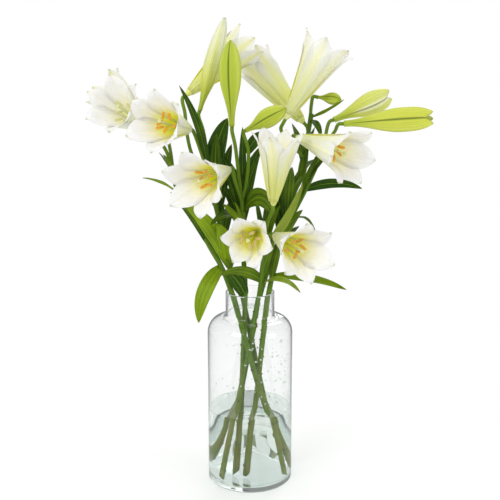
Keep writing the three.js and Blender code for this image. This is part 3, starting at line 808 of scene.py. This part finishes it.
# ---- nodes and shared effects
class Nodes:
    """A node tree, with short names for the nodes that make its values and colours."""

    def __init__(self, tree):
        self.tree = tree

    def put(self, kind, settings=None, **sockets):
        """Adds a node. settings are its own properties. sockets are values or links, under the
        socket's name with an underscore for each space, or under i and its number."""
        node = self.tree.nodes.new(kind)
        for key, value in (settings or {}).items():
            setattr(node, key, value)
        for key, value in sockets.items():
            by_place = key[0] == "i" and key[1:].isdigit()
            self.feed(node.inputs[int(key[1:]) if by_place else key.replace("_", " ")], value)
        return node

    def feed(self, socket, value):
        if isinstance(value, bpy.types.NodeSocket):
            self.tree.links.new(value, socket)
        else:
            socket.default_value = value

    def mark(self, name):
        """What a skin's points say under one of the names in MARKS."""
        return self.put("ShaderNodeAttribute", {"attribute_name": name}).outputs["Fac"]

    def maths(self, operation, a, b=0.0):
        return self.put("ShaderNodeMath", {"operation": operation}, i0=a, i1=b).outputs[0]

    def times(self, a, b):
        return self.maths("MULTIPLY", a, b)

    def plus(self, a, b):
        return self.maths("ADD", a, b)

    def place(self):
        """The place in the piece's own space, in metres."""
        return self.put("ShaderNodeTexCoord").outputs["Object"]

    def span(self, value, low, high, start=0.0, end=1.0):
        """A smooth step from start at low to end at high."""
        step = self.put(
            "ShaderNodeMapRange",
            {"interpolation_type": "SMOOTHSTEP"},
            Value=value,
            From_Min=low,
            From_Max=high,
            To_Min=start,
            To_Max=end,
        )
        return step.outputs["Result"]

    def tinted(self, mask, a, b):
        """Colour a, turning to b where the mask is one. A colour is a link or three numbers."""
        a, b = (c if isinstance(c, bpy.types.NodeSocket) else (*c, 1) for c in (a, b))
        return self.put("ShaderNodeMix", {"data_type": "RGBA"}, i0=mask, i6=a, i7=b).outputs[2]

    def blend(self, mask, a, b):
        """Shader a, turning to b where the mask is one."""
        shaders = {"i1": a.outputs[0], "i2": b.outputs[0]}
        return self.put("ShaderNodeMixShader", i0=mask, **shaders).outputs[0]

    def shared(self, name, build, **inputs):
        """The value of the shared effect of that name, which build makes the first time."""
        effect = {"node_tree": shared_effect(name, inputs, build)}
        return self.put("ShaderNodeGroup", effect, **inputs).outputs["Value"]

    def veins(self, along, over, lines, sharpness):
        inputs = {"Along": along, "Across": over, "Lines": lines, "Sharpness": sharpness}
        return self.shared("Parallel veins", vein_lines, **inputs)

    def mottle(self, scale, detail, low=0, high=1):
        return self.shared("Mottle", patches, Scale=scale, Detail=detail, Low=low, High=high)

    def relief(self, height, distance, strength=1.0):
        """A normal for bumps of the given height in metres."""
        sockets = {"Height": height, "Distance": distance, "Strength": strength}
        return self.put("ShaderNodeBump", **sockets).outputs[0]


def shared_effect(name, inputs, build):
    """The node group of that name, built once. build makes its nodes and gives its value."""
    if name in bpy.data.node_groups:
        return bpy.data.node_groups[name]
    group = bpy.data.node_groups.new(name, "ShaderNodeTree")
    for label in inputs:
        group.interface.new_socket(label, in_out="INPUT", socket_type="NodeSocketFloat")
    group.interface.new_socket("Value", in_out="OUTPUT", socket_type="NodeSocketFloat")
    nodes = Nodes(group)
    given = nodes.put("NodeGroupInput").outputs
    nodes.put("NodeGroupOutput", Value=build(nodes, given))
    return group


def vein_lines(nodes, given):
    """Parallel veins that run the length of a leaf or petal, a little uneven."""
    place = nodes.put("ShaderNodeCombineXYZ", X=given["Across"], Y=given["Along"]).outputs[0]
    drift = nodes.put("ShaderNodeTexNoise", Vector=place, Scale=3.0, Detail=2.0).outputs[0]
    moved = nodes.plus(given["Across"], nodes.times(drift, 0.09))
    wave = nodes.maths("COSINE", nodes.times(nodes.times(moved, given["Lines"]), math.pi))
    return nodes.maths("POWER", nodes.plus(nodes.times(wave, 0.5), 0.5), given["Sharpness"])


def patches(nodes, given):
    """Soft uneven patches in the piece's own space."""
    sockets = {"Vector": nodes.place(), "Scale": given["Scale"], "Detail": given["Detail"]}
    noise = nodes.put("ShaderNodeTexNoise", **sockets).outputs[0]
    ends = {"To_Min": given["Low"], "To_Max": given["High"]}
    ranged = nodes.put("ShaderNodeMapRange", Value=noise, From_Min=0.3, From_Max=0.7, **ends)
    return ranged.outputs["Result"]


# ---- finishes
class Finish(Nodes):
    """A material with a Principled shader wired to its output."""

    def __init__(self, name):
        drop(bpy.data.materials, name)
        self.material = bpy.data.materials.new(name)
        self.material.use_nodes = True
        super().__init__(self.material.node_tree)
        self.tree.nodes.clear()
        self.shader = self.put("ShaderNodeBsdfPrincipled")
        self.output = self.put("ShaderNodeOutputMaterial", Surface=self.shader.outputs[0])

    def dress(self, **sockets):
        """Sets sockets of the shader, by their names with an underscore for each space."""
        for key, value in sockets.items():
            self.feed(self.shader.inputs[key.replace("_", " ")], value)
        return self.material

    def fade(self, mask, tint=(1, 1, 1, 1)):
        """Lets light straight through, tinted, where the mask is one."""
        clear = self.put("ShaderNodeBsdfTransparent", Color=tint)
        self.feed(self.output.inputs["Surface"], self.blend(mask, self.shader, clear))


def petal_finish(look):
    mat = Finish("lily petal")
    along, over, outside, youth = (mat.mark(name) for name in MARKS)
    white = mat.tinted(mat.mottle(45, 2), look.petal, look.petal_shade)
    fresh = mat.span(youth, 0, 0.1, 0.35, 1)
    throat = mat.times(mat.span(along, 0.3, 0.72, 1, 0), fresh)
    inside = mat.tinted(throat, white, look.throat)
    deep = mat.times(mat.span(along, 0.2, 0.55, 1, 0), fresh)
    inside = mat.tinted(deep, inside, look.deep_throat)
    young = mat.times(mat.span(along, 0.4, 0.9, 1, 0), youth)
    inside = mat.tinted(young, inside, look.deep_throat)
    # Painted glow: every tepal emits light as a stand-in for light that comes through the tepals.
    # It glows in the colour of its inside, throat yellow included, low down inside the trumpet, and
    # in a faint grey-white elsewhere.
    lit = mat.times(mat.span(along, 0.35, 0.85, 1, 0), mat.maths("SUBTRACT", 1.0, outside))
    green = mat.times(mat.span(along, 0.05, 0.9, 1, 0), mat.plus(youth, 0.45))
    back = mat.tinted(green, white, look.petal_back)
    rib = mat.span(mat.maths("ABSOLUTE", over), 0, 0.55, 1, 0)
    rib = mat.times(rib, mat.plus(mat.times(youth, 0.6), 0.18))
    back = mat.tinted(rib, back, look.petal_rib)
    paint = mat.tinted(outside, inside, back)
    paint = mat.tinted(mat.span(along, 0.95, 1, 0, 0.7), paint, look.petal_tip)
    lines = mat.veins(along, over, 13, 2.5)
    return mat.dress(
        Base_Color=mat.tinted(mat.times(lines, 0.07), paint, look.petal_rib),
        Roughness=mat.mottle(300, 2, 0.42, 0.58),
        Normal=mat.relief(lines, 0.0004, 0.55),
        Subsurface_Weight=0.5,
        Subsurface_Scale=0.004,
        Subsurface_Radius=(1, 0.95, 0.6),
        Specular_IOR_Level=0.3,
        # Painted glow: the tepals emit light though they are no lamp.
        Emission_Color=mat.tinted(lit, look.petal_painted_glow, inside),
        Emission_Strength=look.painted_glow,
    )


def leaf_finish(look):
    mat = Finish("lily leaf")
    along, over, underside, light = (mat.mark(name) for name in MARKS)
    lines = mat.veins(along, over, 9, 1.6)
    bands = mat.veins(along, over, 3.4, 1.0)
    # Painted light and shade: the light mark makes each leaf darker or lighter, with random mottle
    # and vein bands on top.
    tone = mat.plus(light, mat.mottle(30, 3, -0.16, 0.12))
    tone = mat.plus(tone, mat.times(mat.plus(bands, -0.6), 0.22))
    # Darker towards the base of the leaf.
    tone = mat.times(tone, mat.span(along, 0, 0.35, 0.7, 1))
    paint = mat.tinted(tone, look.leaf_dark, look.leaf_bright)
    vein = mat.times(lines, mat.plus(mat.times(light, 0.3), 0.12))
    paint = mat.tinted(vein, paint, look.leaf_vein)
    midrib = mat.span(mat.maths("ABSOLUTE", over), 0.01, 0.09, 0.55, 0)
    paint = mat.tinted(midrib, paint, look.leaf_vein)
    # Paler still on the most lit leaves, and more so on their underside: painted light together
    # with the paler underside.
    pale = mat.times(mat.plus(mat.times(underside, 0.35), 0.45), mat.span(light, 0.82, 1))
    paint = mat.tinted(pale, paint, look.leaf_pale_and_lit)
    return mat.dress(
        Base_Color=mat.tinted(mat.span(along, 0.93, 1, 0, 0.5), paint, look.leaf_tip),
        Roughness=mat.plus(mat.times(underside, 0.2), mat.mottle(200, 2, 0.28, 0.42)),
        Normal=mat.relief(lines, 0.0006, 0.7),
        Subsurface_Weight=0.2,
        Subsurface_Scale=0.002,
        Subsurface_Radius=(0.5, 1, 0.15),
        Specular_IOR_Level=0.22,
    )


def stem_finish(look):
    mat = Finish("lily stem")
    height, fresh = mat.mark("along"), mat.mark("shade")
    paint = mat.tinted(fresh, look.stem, look.stalk)
    foot = mat.times(mat.span(height, 0.05, 0.45, 1, 0.1), mat.plus(mat.mottle(90, 3), 0.3))
    paint = mat.tinted(foot, paint, look.stem_foot)
    drawn = mat.put("ShaderNodeMapping", Vector=mat.place(), Scale=(700, 700, 25)).outputs[0]
    fibres = mat.put("ShaderNodeTexNoise", Vector=drawn, Scale=1.0, Detail=3.0).outputs[0]
    return mat.dress(
        Base_Color=mat.tinted(mat.times(fibres, 0.3), paint, look.leaf_dark),
        Roughness=mat.mottle(250, 2, 0.35, 0.5),
        Normal=mat.relief(fibres, 0.0003, 0.6),
        Subsurface_Weight=0.1,
        Subsurface_Scale=0.002,
        Specular_IOR_Level=0.25,
    )


def scar_finish(look):
    mat = Finish("leaf scar")
    paint = mat.tinted(mat.mottle(400, 2), look.scar, look.stem_foot)
    crust = mat.relief(mat.mottle(1500, 3), 0.0003)
    return mat.dress(Base_Color=paint, Roughness=0.75, Normal=crust)


def bud_finish(look):
    mat = Finish("lily bud")
    along, seam, parted, cream = (mat.mark(name) for name in MARKS)
    lines = mat.veins(along, mat.times(seam, 0.9), 11, 2)
    lime = mat.times(mat.span(cream, 0, 0.4), mat.span(along, 0.02, 0.4))
    paint = mat.tinted(lime, look.bud_green, look.bud_lime)
    ripe = mat.times(mat.span(cream, 0.4, 1), mat.span(along, 0.15, 0.95))
    paint = mat.tinted(ripe, paint, look.bud_cream)
    paint = mat.tinted(mat.times(mat.span(seam, 0.55, 1.02), 0.5), paint, look.bud_rib)
    within = mat.times(mat.span(seam, 0.2, 0.42, 1, 0), mat.span(along, 0.25, 0.55))
    within = mat.times(within, mat.span(cream, 0.35, 0.6))
    paint = mat.tinted(mat.times(within, mat.span(parted, 0.2, 1)), paint, look.bud_cream)
    # The seams turn dark along their grooves, less so on ripe cream buds: the seams' own darker
    # green together with painted shade in the groove.
    seam_and_shade = mat.times(mat.span(seam, 0.02, 0.17, 0.85, 0), mat.span(along, 0.02, 0.2))
    seam_and_shade = mat.times(seam_and_shade, mat.span(cream, 0.3, 1, 1, 0.35))
    paint = mat.tinted(seam_and_shade, paint, look.bud_seam_and_shade)
    paint = mat.tinted(mat.times(lines, 0.22), paint, look.bud_green)
    return mat.dress(
        Base_Color=mat.tinted(mat.span(along, 0.965, 1, 0, 0.75), paint, look.petal_tip),
        Roughness=mat.mottle(220, 2, 0.36, 0.5),
        Normal=mat.relief(lines, 0.0005, 0.7),
        Subsurface_Weight=0.3,
        Subsurface_Scale=0.003,
        Subsurface_Radius=(0.9, 1, 0.3),
        Specular_IOR_Level=0.3,
    )


def filament_finish(look):
    mat = Finish("filament")
    paint = mat.tinted(mat.span(mat.mark("along"), 0, 0.8), look.deep_throat, look.filament)
    return mat.dress(Base_Color=paint, Roughness=mat.mottle(500, 2, 0.4, 0.55))


def pollen_finish(look):
    mat = Finish("pollen")
    grains = mat.mottle(1400, 3)
    orange = mat.tinted(grains, look.pollen, look.pollen_light)
    return mat.dress(
        Base_Color=mat.tinted(mat.mark("shade"), look.anther, orange),
        Roughness=0.9,
        Normal=mat.relief(grains, 0.0006),
        Sheen_Weight=0.3,
    )


def stigma_finish(look):
    mat = Finish("stigma")
    paint = mat.tinted(mat.mottle(600, 2), look.filament, look.petal_rib)
    grain = mat.relief(mat.mottle(1800, 2), 0.0002)
    return mat.dress(Base_Color=paint, Roughness=0.35, Normal=grain)


GLASS_IOR = 1.5
WATER_IOR = 1.333
# How often a ray is followed before it goes straight on through glass and water.
MOST_BOUNCES = {"Ray Depth": 9.5, "Glossy Depth": 2.5}
CLEAR_TINT = (0.96, 0.98, 0.97, 1)


def clear_finish(name, ior, mark, colours, waves):
    """Glass or water that turns from one of its colours to the other with a mark. waves are the
    scale and height of its unevenness. Lamps shine through it, and light that has bounced about
    inside goes straight on."""
    mat = Finish(name)
    scale, height = waves
    mat.dress(
        Base_Color=mat.tinted(mat.mark(mark), *colours),
        Roughness=0.0,
        IOR=ior,
        Transmission_Weight=1.0,
        Normal=mat.relief(mat.mottle(scale, 1), height, 0.5),
    )
    rays = mat.put("ShaderNodeLightPath").outputs
    passed = mat.maths("MAXIMUM", rays["Is Shadow Ray"], rays["Is Diffuse Ray"])
    for depth, most in MOST_BOUNCES.items():
        passed = mat.maths("MAXIMUM", passed, mat.maths("GREATER_THAN", rays[depth], most))
    mat.fade(passed, CLEAR_TINT)
    return mat.material


# ---- what a user may change
def setting(name, description, default, **kind):
    return bpy.props.FloatProperty(name=name, description=description, default=default, **kind)


def length(name, description, default):
    return setting(name, description + ", mm", default, precision=2)


def share(name, description, default):
    return setting(name, description, default, min=0, max=1, subtype="FACTOR")


def power(name, description, default):
    return setting(name, description, default, min=0, unit="POWER")


def colour(name, description, default):
    return bpy.props.FloatVectorProperty(
        name=name, description=description, default=default, size=3, min=0, max=1, subtype="COLOR"
    )


def reach(box, axis):
    """How far a CAD node's box reaches along an axis, in millimetres."""
    return box[1][axis] / MILLIMETRE


class VaseSettings(bpy.types.PropertyGroup):
    height: length("Height", "Foot to rim", reach(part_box("vase"), 2))
    body_radius: length("Body radius", "Outside radius of the body", reach(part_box("vase"), 0))
    neck_radius: length("Neck radius", "Outside radius of the neck", 40.0)
    neck_fillet: length("Neck fillet", "Bend where the shoulder meets the neck", 8.0)
    shoulder_bottom: length("Shoulder bottom", "Height where the body starts to draw in", 255.0)
    shoulder_rise: length("Shoulder rise", "Height of the shoulder's curve", 27.0)
    foot_radius: length("Foot radius", "Rounding under the foot", 6.0)
    wall: length("Wall", "Thickness of the glass", 2.6)
    floor: length("Floor", "Thickness of the base", 8.0)
    inner_corner: length("Inner corner", "Rounding inside the base", 9.0)
    water_level: length("Water level", "Height of the water", reach(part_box("water"), 2))
    meniscus: length("Meniscus", "How far the water climbs the glass", 1.8)
    wetting: length("Wetting", "How far the water's skin lies inside the glass", 0.15)
    droplets: bpy.props.IntProperty(
        name="Droplets", description="Splashes inside the glass", default=110, min=0
    )
    glass: colour("Glass", "Colour of the wall", (0.98, 0.985, 0.985))
    thick_glass: colour("Thick glass", "Colour of the base", (0.93, 0.96, 0.945))
    water: colour("Water", "Colour of the water", (0.99, 0.995, 0.995))


class FlowerSettings(bpy.types.PropertyGroup):
    usual_length: length("Usual length", "Flower length that the widths are for", 134.0)
    inner_half_width: length("Inner half width", "Half the width of an inner tepal", 27.0)
    outer_half_width: length("Outer half width", "Half the width of an outer tepal", 22.0)
    layer_offset: length("Layer offset", "How far the two layers lie from the tube's middle", 1.5)
    thickness: length("Thickness", "Thickness of a tepal at its middle", 1.1)
    midrib: length("Midrib", "Depth of the channel along a tepal", 1.0)
    ruffle: length("Ruffle", "Height of the waves along a tepal's edge", 2.0)
    recurve: length("Recurve", "How far the tips bend back", 3.0)
    rolled_edge: share("Rolled edge", "How far the edges roll back, as a share of the width", 0.1)


class GreenSettings(bpy.types.PropertyGroup):
    leaf_thickness: length("Leaf thickness", "Thickness of a blade at its rib", 1.0)
    leaf_fold: share("Leaf fold", "Depth of a leaf's channel as a share of its half width", 0.28)
    leaf_wave: share("Leaf wave", "Waves along a leaf's edge as a share of its half width", 0.12)


class LookSettings(bpy.types.PropertyGroup):
    petal: colour("Petal", "White of the tepals", (0.92, 0.905, 0.86))
    petal_shade: colour("Petal shade", "Faint cooler patches on the tepals", (0.86, 0.85, 0.845))
    # The throat's yellow, which the tepals also emit there as painted glow.
    throat: colour("Throat", "Glow inside the trumpet", (0.9, 0.85, 0.5))
    deep_throat: colour("Deep throat", "Bottom of the trumpet", (0.76, 0.74, 0.03))
    # Painted glow: strength of the light that the tepals emit, a stand-in for light coming through
    # them.
    painted_glow: share("Glow", "Light that comes through the tepals", 0.2)
    # Painted glow: colour that the tepals emit away from the bottom of their inside.
    petal_painted_glow: colour("Petal glow", "Light through the ends of the tepals", (0.16, 0.16, 0.13))
    petal_back: colour("Petal back", "Green at the base outside", (0.72, 0.76, 0.2))
    petal_rib: colour("Petal rib", "Rib along the outside", (0.76, 0.76, 0.24))
    petal_tip: colour("Petal tip", "Hooked tips", (0.4, 0.44, 0.1))
    # Painted light and shade: the leaves are tinted between these two by their light mark.
    leaf_dark: colour("Dark leaf", "Shaded and older leaves", (0.016, 0.062, 0.002))
    leaf_bright: colour("Bright leaf", "Young leaves in the light", (0.3, 0.43, 0.004))
    leaf_vein: colour("Leaf vein", "Raised veins and midrib", (0.24, 0.4, 0.01))
    # Painted light with the paler underside: the colour of the most lit leaves.
    leaf_pale_and_lit: colour("Pale leaf", "The youngest and palest leaves", (0.48, 0.52, 0.14))
    leaf_tip: colour("Leaf tip", "Dry tips", (0.22, 0.22, 0.02))
    stem: colour("Stem", "Stems in the vase and above", (0.06, 0.15, 0.005))
    stalk: colour("Stalk", "Flower stalks", (0.2, 0.34, 0.012))
    stem_foot: colour("Stem foot", "Bleached stem under water", (0.2, 0.2, 0.03))
    scar: colour("Leaf scar", "Where leaves were stripped", (0.02, 0.014, 0.005))
    bud_green: colour("Green bud", "Closed buds", (0.45, 0.56, 0.045))
    bud_lime: colour("Lime bud", "Buds that begin to ripen", (0.68, 0.71, 0.09))
    bud_cream: colour("Cream bud", "Buds about to open", (0.95, 0.94, 0.76))
    bud_rib: colour("Bud rib", "Ribs of a bud", (0.7, 0.74, 0.16))
    # The seams' own darker green together with painted shade in their grooves.
    bud_seam_and_shade: colour("Bud furrow", "Seams of a bud", (0.13, 0.19, 0.01))
    filament: colour("Filament", "Filaments and style", (0.72, 0.8, 0.45))
    anther: colour("Anther", "Anthers that are still closed", (0.8, 0.76, 0.36))
    pollen: colour("Pollen", "Anthers", (0.9, 0.33, 0.008))
    pollen_light: colour("Light pollen", "Loose pollen on the anthers", (1, 0.56, 0.02))


class StageSettings(bpy.types.PropertyGroup):
    floor: colour("Floor", "Plain pale floor", (0.93, 0.93, 0.93))
    sky: share("Sky", "Strength of the light from all round", 0.88)
    gloss: share("Gloss", "Strength of the sky's reflection", 0.3)
    key: power("Key light", "Large lamp at the front left", 16)
    fill: power("Fill light", "Lamp at the right", 6)
    rim: power("Back light", "Lamp high at the back", 8)


# ---- operators
# The camera's place and pitch, found from the ellipses of the vase's rim and of the water line.
CAMERA_PLACE = (0, -1.52, 0.725)
CAMERA_PITCH = 77.7
CAMERA_LENS = 69.12
CAMERA_SENSOR = 36
CAMERA_REACH = 50

KEY_PLACE, KEY_SIZE = (-1.3, -1.5, 1.7), 1.1
FILL_PLACE, FILL_SIZE = (1.7, -0.9, 0.9), 0.9
BACK_PLACE, BACK_SIZE = (0.5, 1.4, 1.6), 0.9
LAMPS_AIM = (0, 0, 0.42)

FLOOR_REACH = 1.4
FLOOR_DROP = 0.0002
FLOOR_FADE = (0.35, 1.3)  # distances from the vase between which the floor fades
LOW_SKY = (0.86, 0.87, 0.9)


class BuildStep:
    """What every step shares: it can be undone, and it is only offered where there is a scene."""

    bl_options = {"REGISTER", "UNDO"}

    @classmethod
    def poll(cls, context):
        return context.scene is not None


class LILIES_OT_stage(BuildStep, bpy.types.Operator):
    """Sets a pale floor, soft studio light and the camera"""

    bl_idname = "lilies.stage"
    bl_label = "Stage"

    def execute(self, context):
        stage = context.scene.lily_stage
        self.lay_floor(stage)
        self.hang_sky(context, stage)
        self.hang_lamp("key_light", KEY_PLACE, KEY_SIZE, stage.key)
        self.hang_lamp("fill_light", FILL_PLACE, FILL_SIZE, stage.fill)
        self.hang_lamp("back_light", BACK_PLACE, BACK_SIZE, stage.rim)
        self.place_camera(context)
        return {"FINISHED"}

    def lay_floor(self, stage):
        """A pale floor that fades into the backdrop well behind and round the vase."""
        mat = Finish("pale floor")
        mat.dress(Base_Color=(*stage.floor, 1), Roughness=mat.mottle(3, 2, 0.7, 0.8))
        away = mat.put("ShaderNodeVectorMath", {"operation": "LENGTH"}, i0=mat.place())
        mat.fade(mat.span(away.outputs["Value"], *FLOOR_FADE))
        mesh = bpy.data.meshes.new("floor")
        corners = ((-1, -1), (1, -1), (1, 1), (-1, 1))
        points = [(x * FLOOR_REACH, y * FLOOR_REACH, -FLOOR_DROP) for x, y in corners]
        mesh.from_pydata(points, [], [(0, 1, 2, 3)])
        mesh.materials.append(mat.material)
        floor = new_object("floor", mesh)

    def hang_sky(self, context, stage):
        """A white backdrop. Its light on the object is dimmer low down and in reflections."""
        world = bpy.data.worlds.new("studio")
        world.use_nodes = True
        nodes = Nodes(world.node_tree)
        nodes.tree.nodes.clear()
        direction = nodes.put("ShaderNodeTexCoord").outputs["Generated"]
        up = nodes.put("ShaderNodeSeparateXYZ", Vector=direction).outputs["Z"]
        sky = nodes.tinted(nodes.span(up, -0.3, 0.8), LOW_SKY, (1, 1, 1))
        rays = nodes.put("ShaderNodeLightPath").outputs
        mirrored = nodes.maths("GREATER_THAN", rays["Glossy Depth"], 0.5)
        shallow = nodes.maths("LESS_THAN", rays["Transmission Depth"], 3.5)
        strength = nodes.put(
            "ShaderNodeMapRange",
            Value=nodes.times(mirrored, shallow),
            To_Min=stage.sky,
            To_Max=stage.gloss,
        )
        light = nodes.put("ShaderNodeBackground", Color=sky, Strength=strength.outputs["Result"])
        backdrop = nodes.put("ShaderNodeBackground", Color=(1, 1, 1, 1), Strength=1.0)
        unmirrored = nodes.maths("LESS_THAN", rays["Glossy Depth"], 0.5)
        straight = nodes.times(rays["Is Transmission Ray"], unmirrored)
        plain = nodes.maths("MAXIMUM", rays["Is Camera Ray"], straight)
        nodes.put("ShaderNodeOutputWorld", Surface=nodes.blend(plain, light, backdrop))
        context.scene.world = world
        context.scene.view_settings.view_transform = "Standard"

    def hang_lamp(self, name, place, size, watts):
        lamp = bpy.data.lights.new(name, "AREA")
        lamp.size, lamp.energy = size, watts
        made = new_object(name, lamp)
        made.location = place
        made.visible_transmission = False
        aim = Vector(LAMPS_AIM) - Vector(place)
        made.rotation_euler = aim.to_track_quat("-Z", "Y").to_euler()

    def place_camera(self, context):
        """Square on to the front, level with the flowers and tilted down."""
        lens = bpy.data.cameras.new("camera")
        lens.sensor_width, lens.lens, lens.clip_end = CAMERA_SENSOR, CAMERA_LENS, CAMERA_REACH
        camera = new_object("camera", lens)
        camera.location = CAMERA_PLACE
        camera.rotation_euler = (math.radians(CAMERA_PITCH), 0, 0)
        context.scene.camera = camera


class LILIES_OT_vase(BuildStep, bpy.types.Operator):
    """Blows the clear glass vase"""

    bl_idname = "lilies.vase"
    bl_label = "Vase"

    def execute(self, context):
        vase = context.scene.lily_vase
        colours = (vase.glass, vase.thick_glass)
        glass = clear_finish("clear glass", GLASS_IOR, "outside", colours, (9, 0.0006))
        vase_skin(vase).piece("glass_vase", [glass], "glass", "vase")
        return {"FINISHED"}


class LILIES_OT_water(BuildStep, bpy.types.Operator):
    """Fills the vase with water and splashes a few drops on its wall"""

    bl_idname = "lilies.water"
    bl_label = "Water"

    def execute(self, context):
        vase = context.scene.lily_vase
        colours = (vase.thick_glass, vase.water)
        water = clear_finish("still water", WATER_IOR, "along", colours, (14, 0.0008))
        water_skin(vase).piece("water_fill", [water], "water", "water")
        droplets_skin(vase).piece("droplets", [water], "water")
        return {"FINISHED"}


class LILIES_OT_stems(BuildStep, bpy.types.Operator):
    """Grows the six stems with their stalks and leaves"""

    bl_idname = "lilies.stems"
    bl_label = "Stems and leaves"

    def execute(self, context):
        scene = context.scene
        look = scene.lily_look
        finishes = [stem_finish(look), scar_finish(look), leaf_finish(look)]
        for number, stem in enumerate(STEMS, 1):
            skin = stem_skin(stem, number, scene.lily_greens)
            skin.piece(f"leafy_stem_{number}", finishes, "stems_and_leaves", f"stem_{number}")
        return {"FINISHED"}


class LILIES_OT_flowers(BuildStep, bpy.types.Operator):
    """Opens the eleven trumpet flowers"""

    bl_idname = "lilies.flowers"
    bl_label = "Flowers"

    def execute(self, context):
        finish = petal_finish(context.scene.lily_look)
        for flower in FLOWERS:
            n = flower.number
            skin = flower_skin(flower, context.scene.lily_bloom)
            skin.piece(f"lily_{n}", [finish], "petals", f"flower_{n}")
        return {"FINISHED"}


class LILIES_OT_stamens(BuildStep, bpy.types.Operator):
    """Sets the pistil and six stamens in each flower"""

    bl_idname = "lilies.stamens"
    bl_label = "Pistils and stamens"

    def execute(self, context):
        look = context.scene.lily_look
        finishes = [filament_finish(look), pollen_finish(look), stigma_finish(look)]
        for flower in FLOWERS:
            n = flower.number
            stamens_skin(flower).piece(f"anthers_{n}", finishes, "stamens", f"stamens_{n}")
        return {"FINISHED"}


class LILIES_OT_buds(BuildStep, bpy.types.Operator):
    """Grows the six buds"""

    bl_idname = "lilies.buds"
    bl_label = "Buds"

    def execute(self, context):
        finish = bud_finish(context.scene.lily_look)
        for bud in BUDS:
            n = bud.number
            bud_skin(bud).piece(f"closed_lily_{n}", [finish], "buds", f"bud_{n}")
        return {"FINISHED"}


class LILIES_PT_bouquet(bpy.types.Panel):
    """The bouquet's steps and sizes"""

    bl_label = "Lilies in a vase"
    bl_space_type = "VIEW_3D"
    bl_region_type = "UI"
    bl_category = "Lilies"

    def draw(self, context):
        for step in STEPS:
            self.layout.operator(step.bl_idname)
        for name, kind in SETTINGS.items():
            box = self.layout.box()
            for field in kind.__annotations__:
                box.prop(getattr(context.scene, name), field)


STEPS = (
    LILIES_OT_stage,
    LILIES_OT_vase,
    LILIES_OT_water,
    LILIES_OT_stems,
    LILIES_OT_flowers,
    LILIES_OT_stamens,
    LILIES_OT_buds,
)
SETTINGS = {
    "lily_vase": VaseSettings,
    "lily_bloom": FlowerSettings,
    "lily_greens": GreenSettings,
    "lily_look": LookSettings,
    "lily_stage": StageSettings,
}


def register():
    for kind in (*SETTINGS.values(), *STEPS, LILIES_PT_bouquet):
        bpy.utils.register_class(kind)
    for name, kind in SETTINGS.items():
        setattr(bpy.types.Scene, name, bpy.props.PointerProperty(type=kind))


def unregister():
    for name in SETTINGS:
        delattr(bpy.types.Scene, name)
    for kind in (LILIES_PT_bouquet, *reversed(STEPS), *reversed(SETTINGS.values())):
        bpy.utils.unregister_class(kind)


def main():
    register()
    bpy.ops.lilies.stage()
    bpy.ops.lilies.vase()
    bpy.ops.lilies.water()
    bpy.ops.lilies.stems()
    bpy.ops.lilies.flowers()
    bpy.ops.lilies.stamens()
    bpy.ops.lilies.buds()


if __name__ == "__main__":
    main()
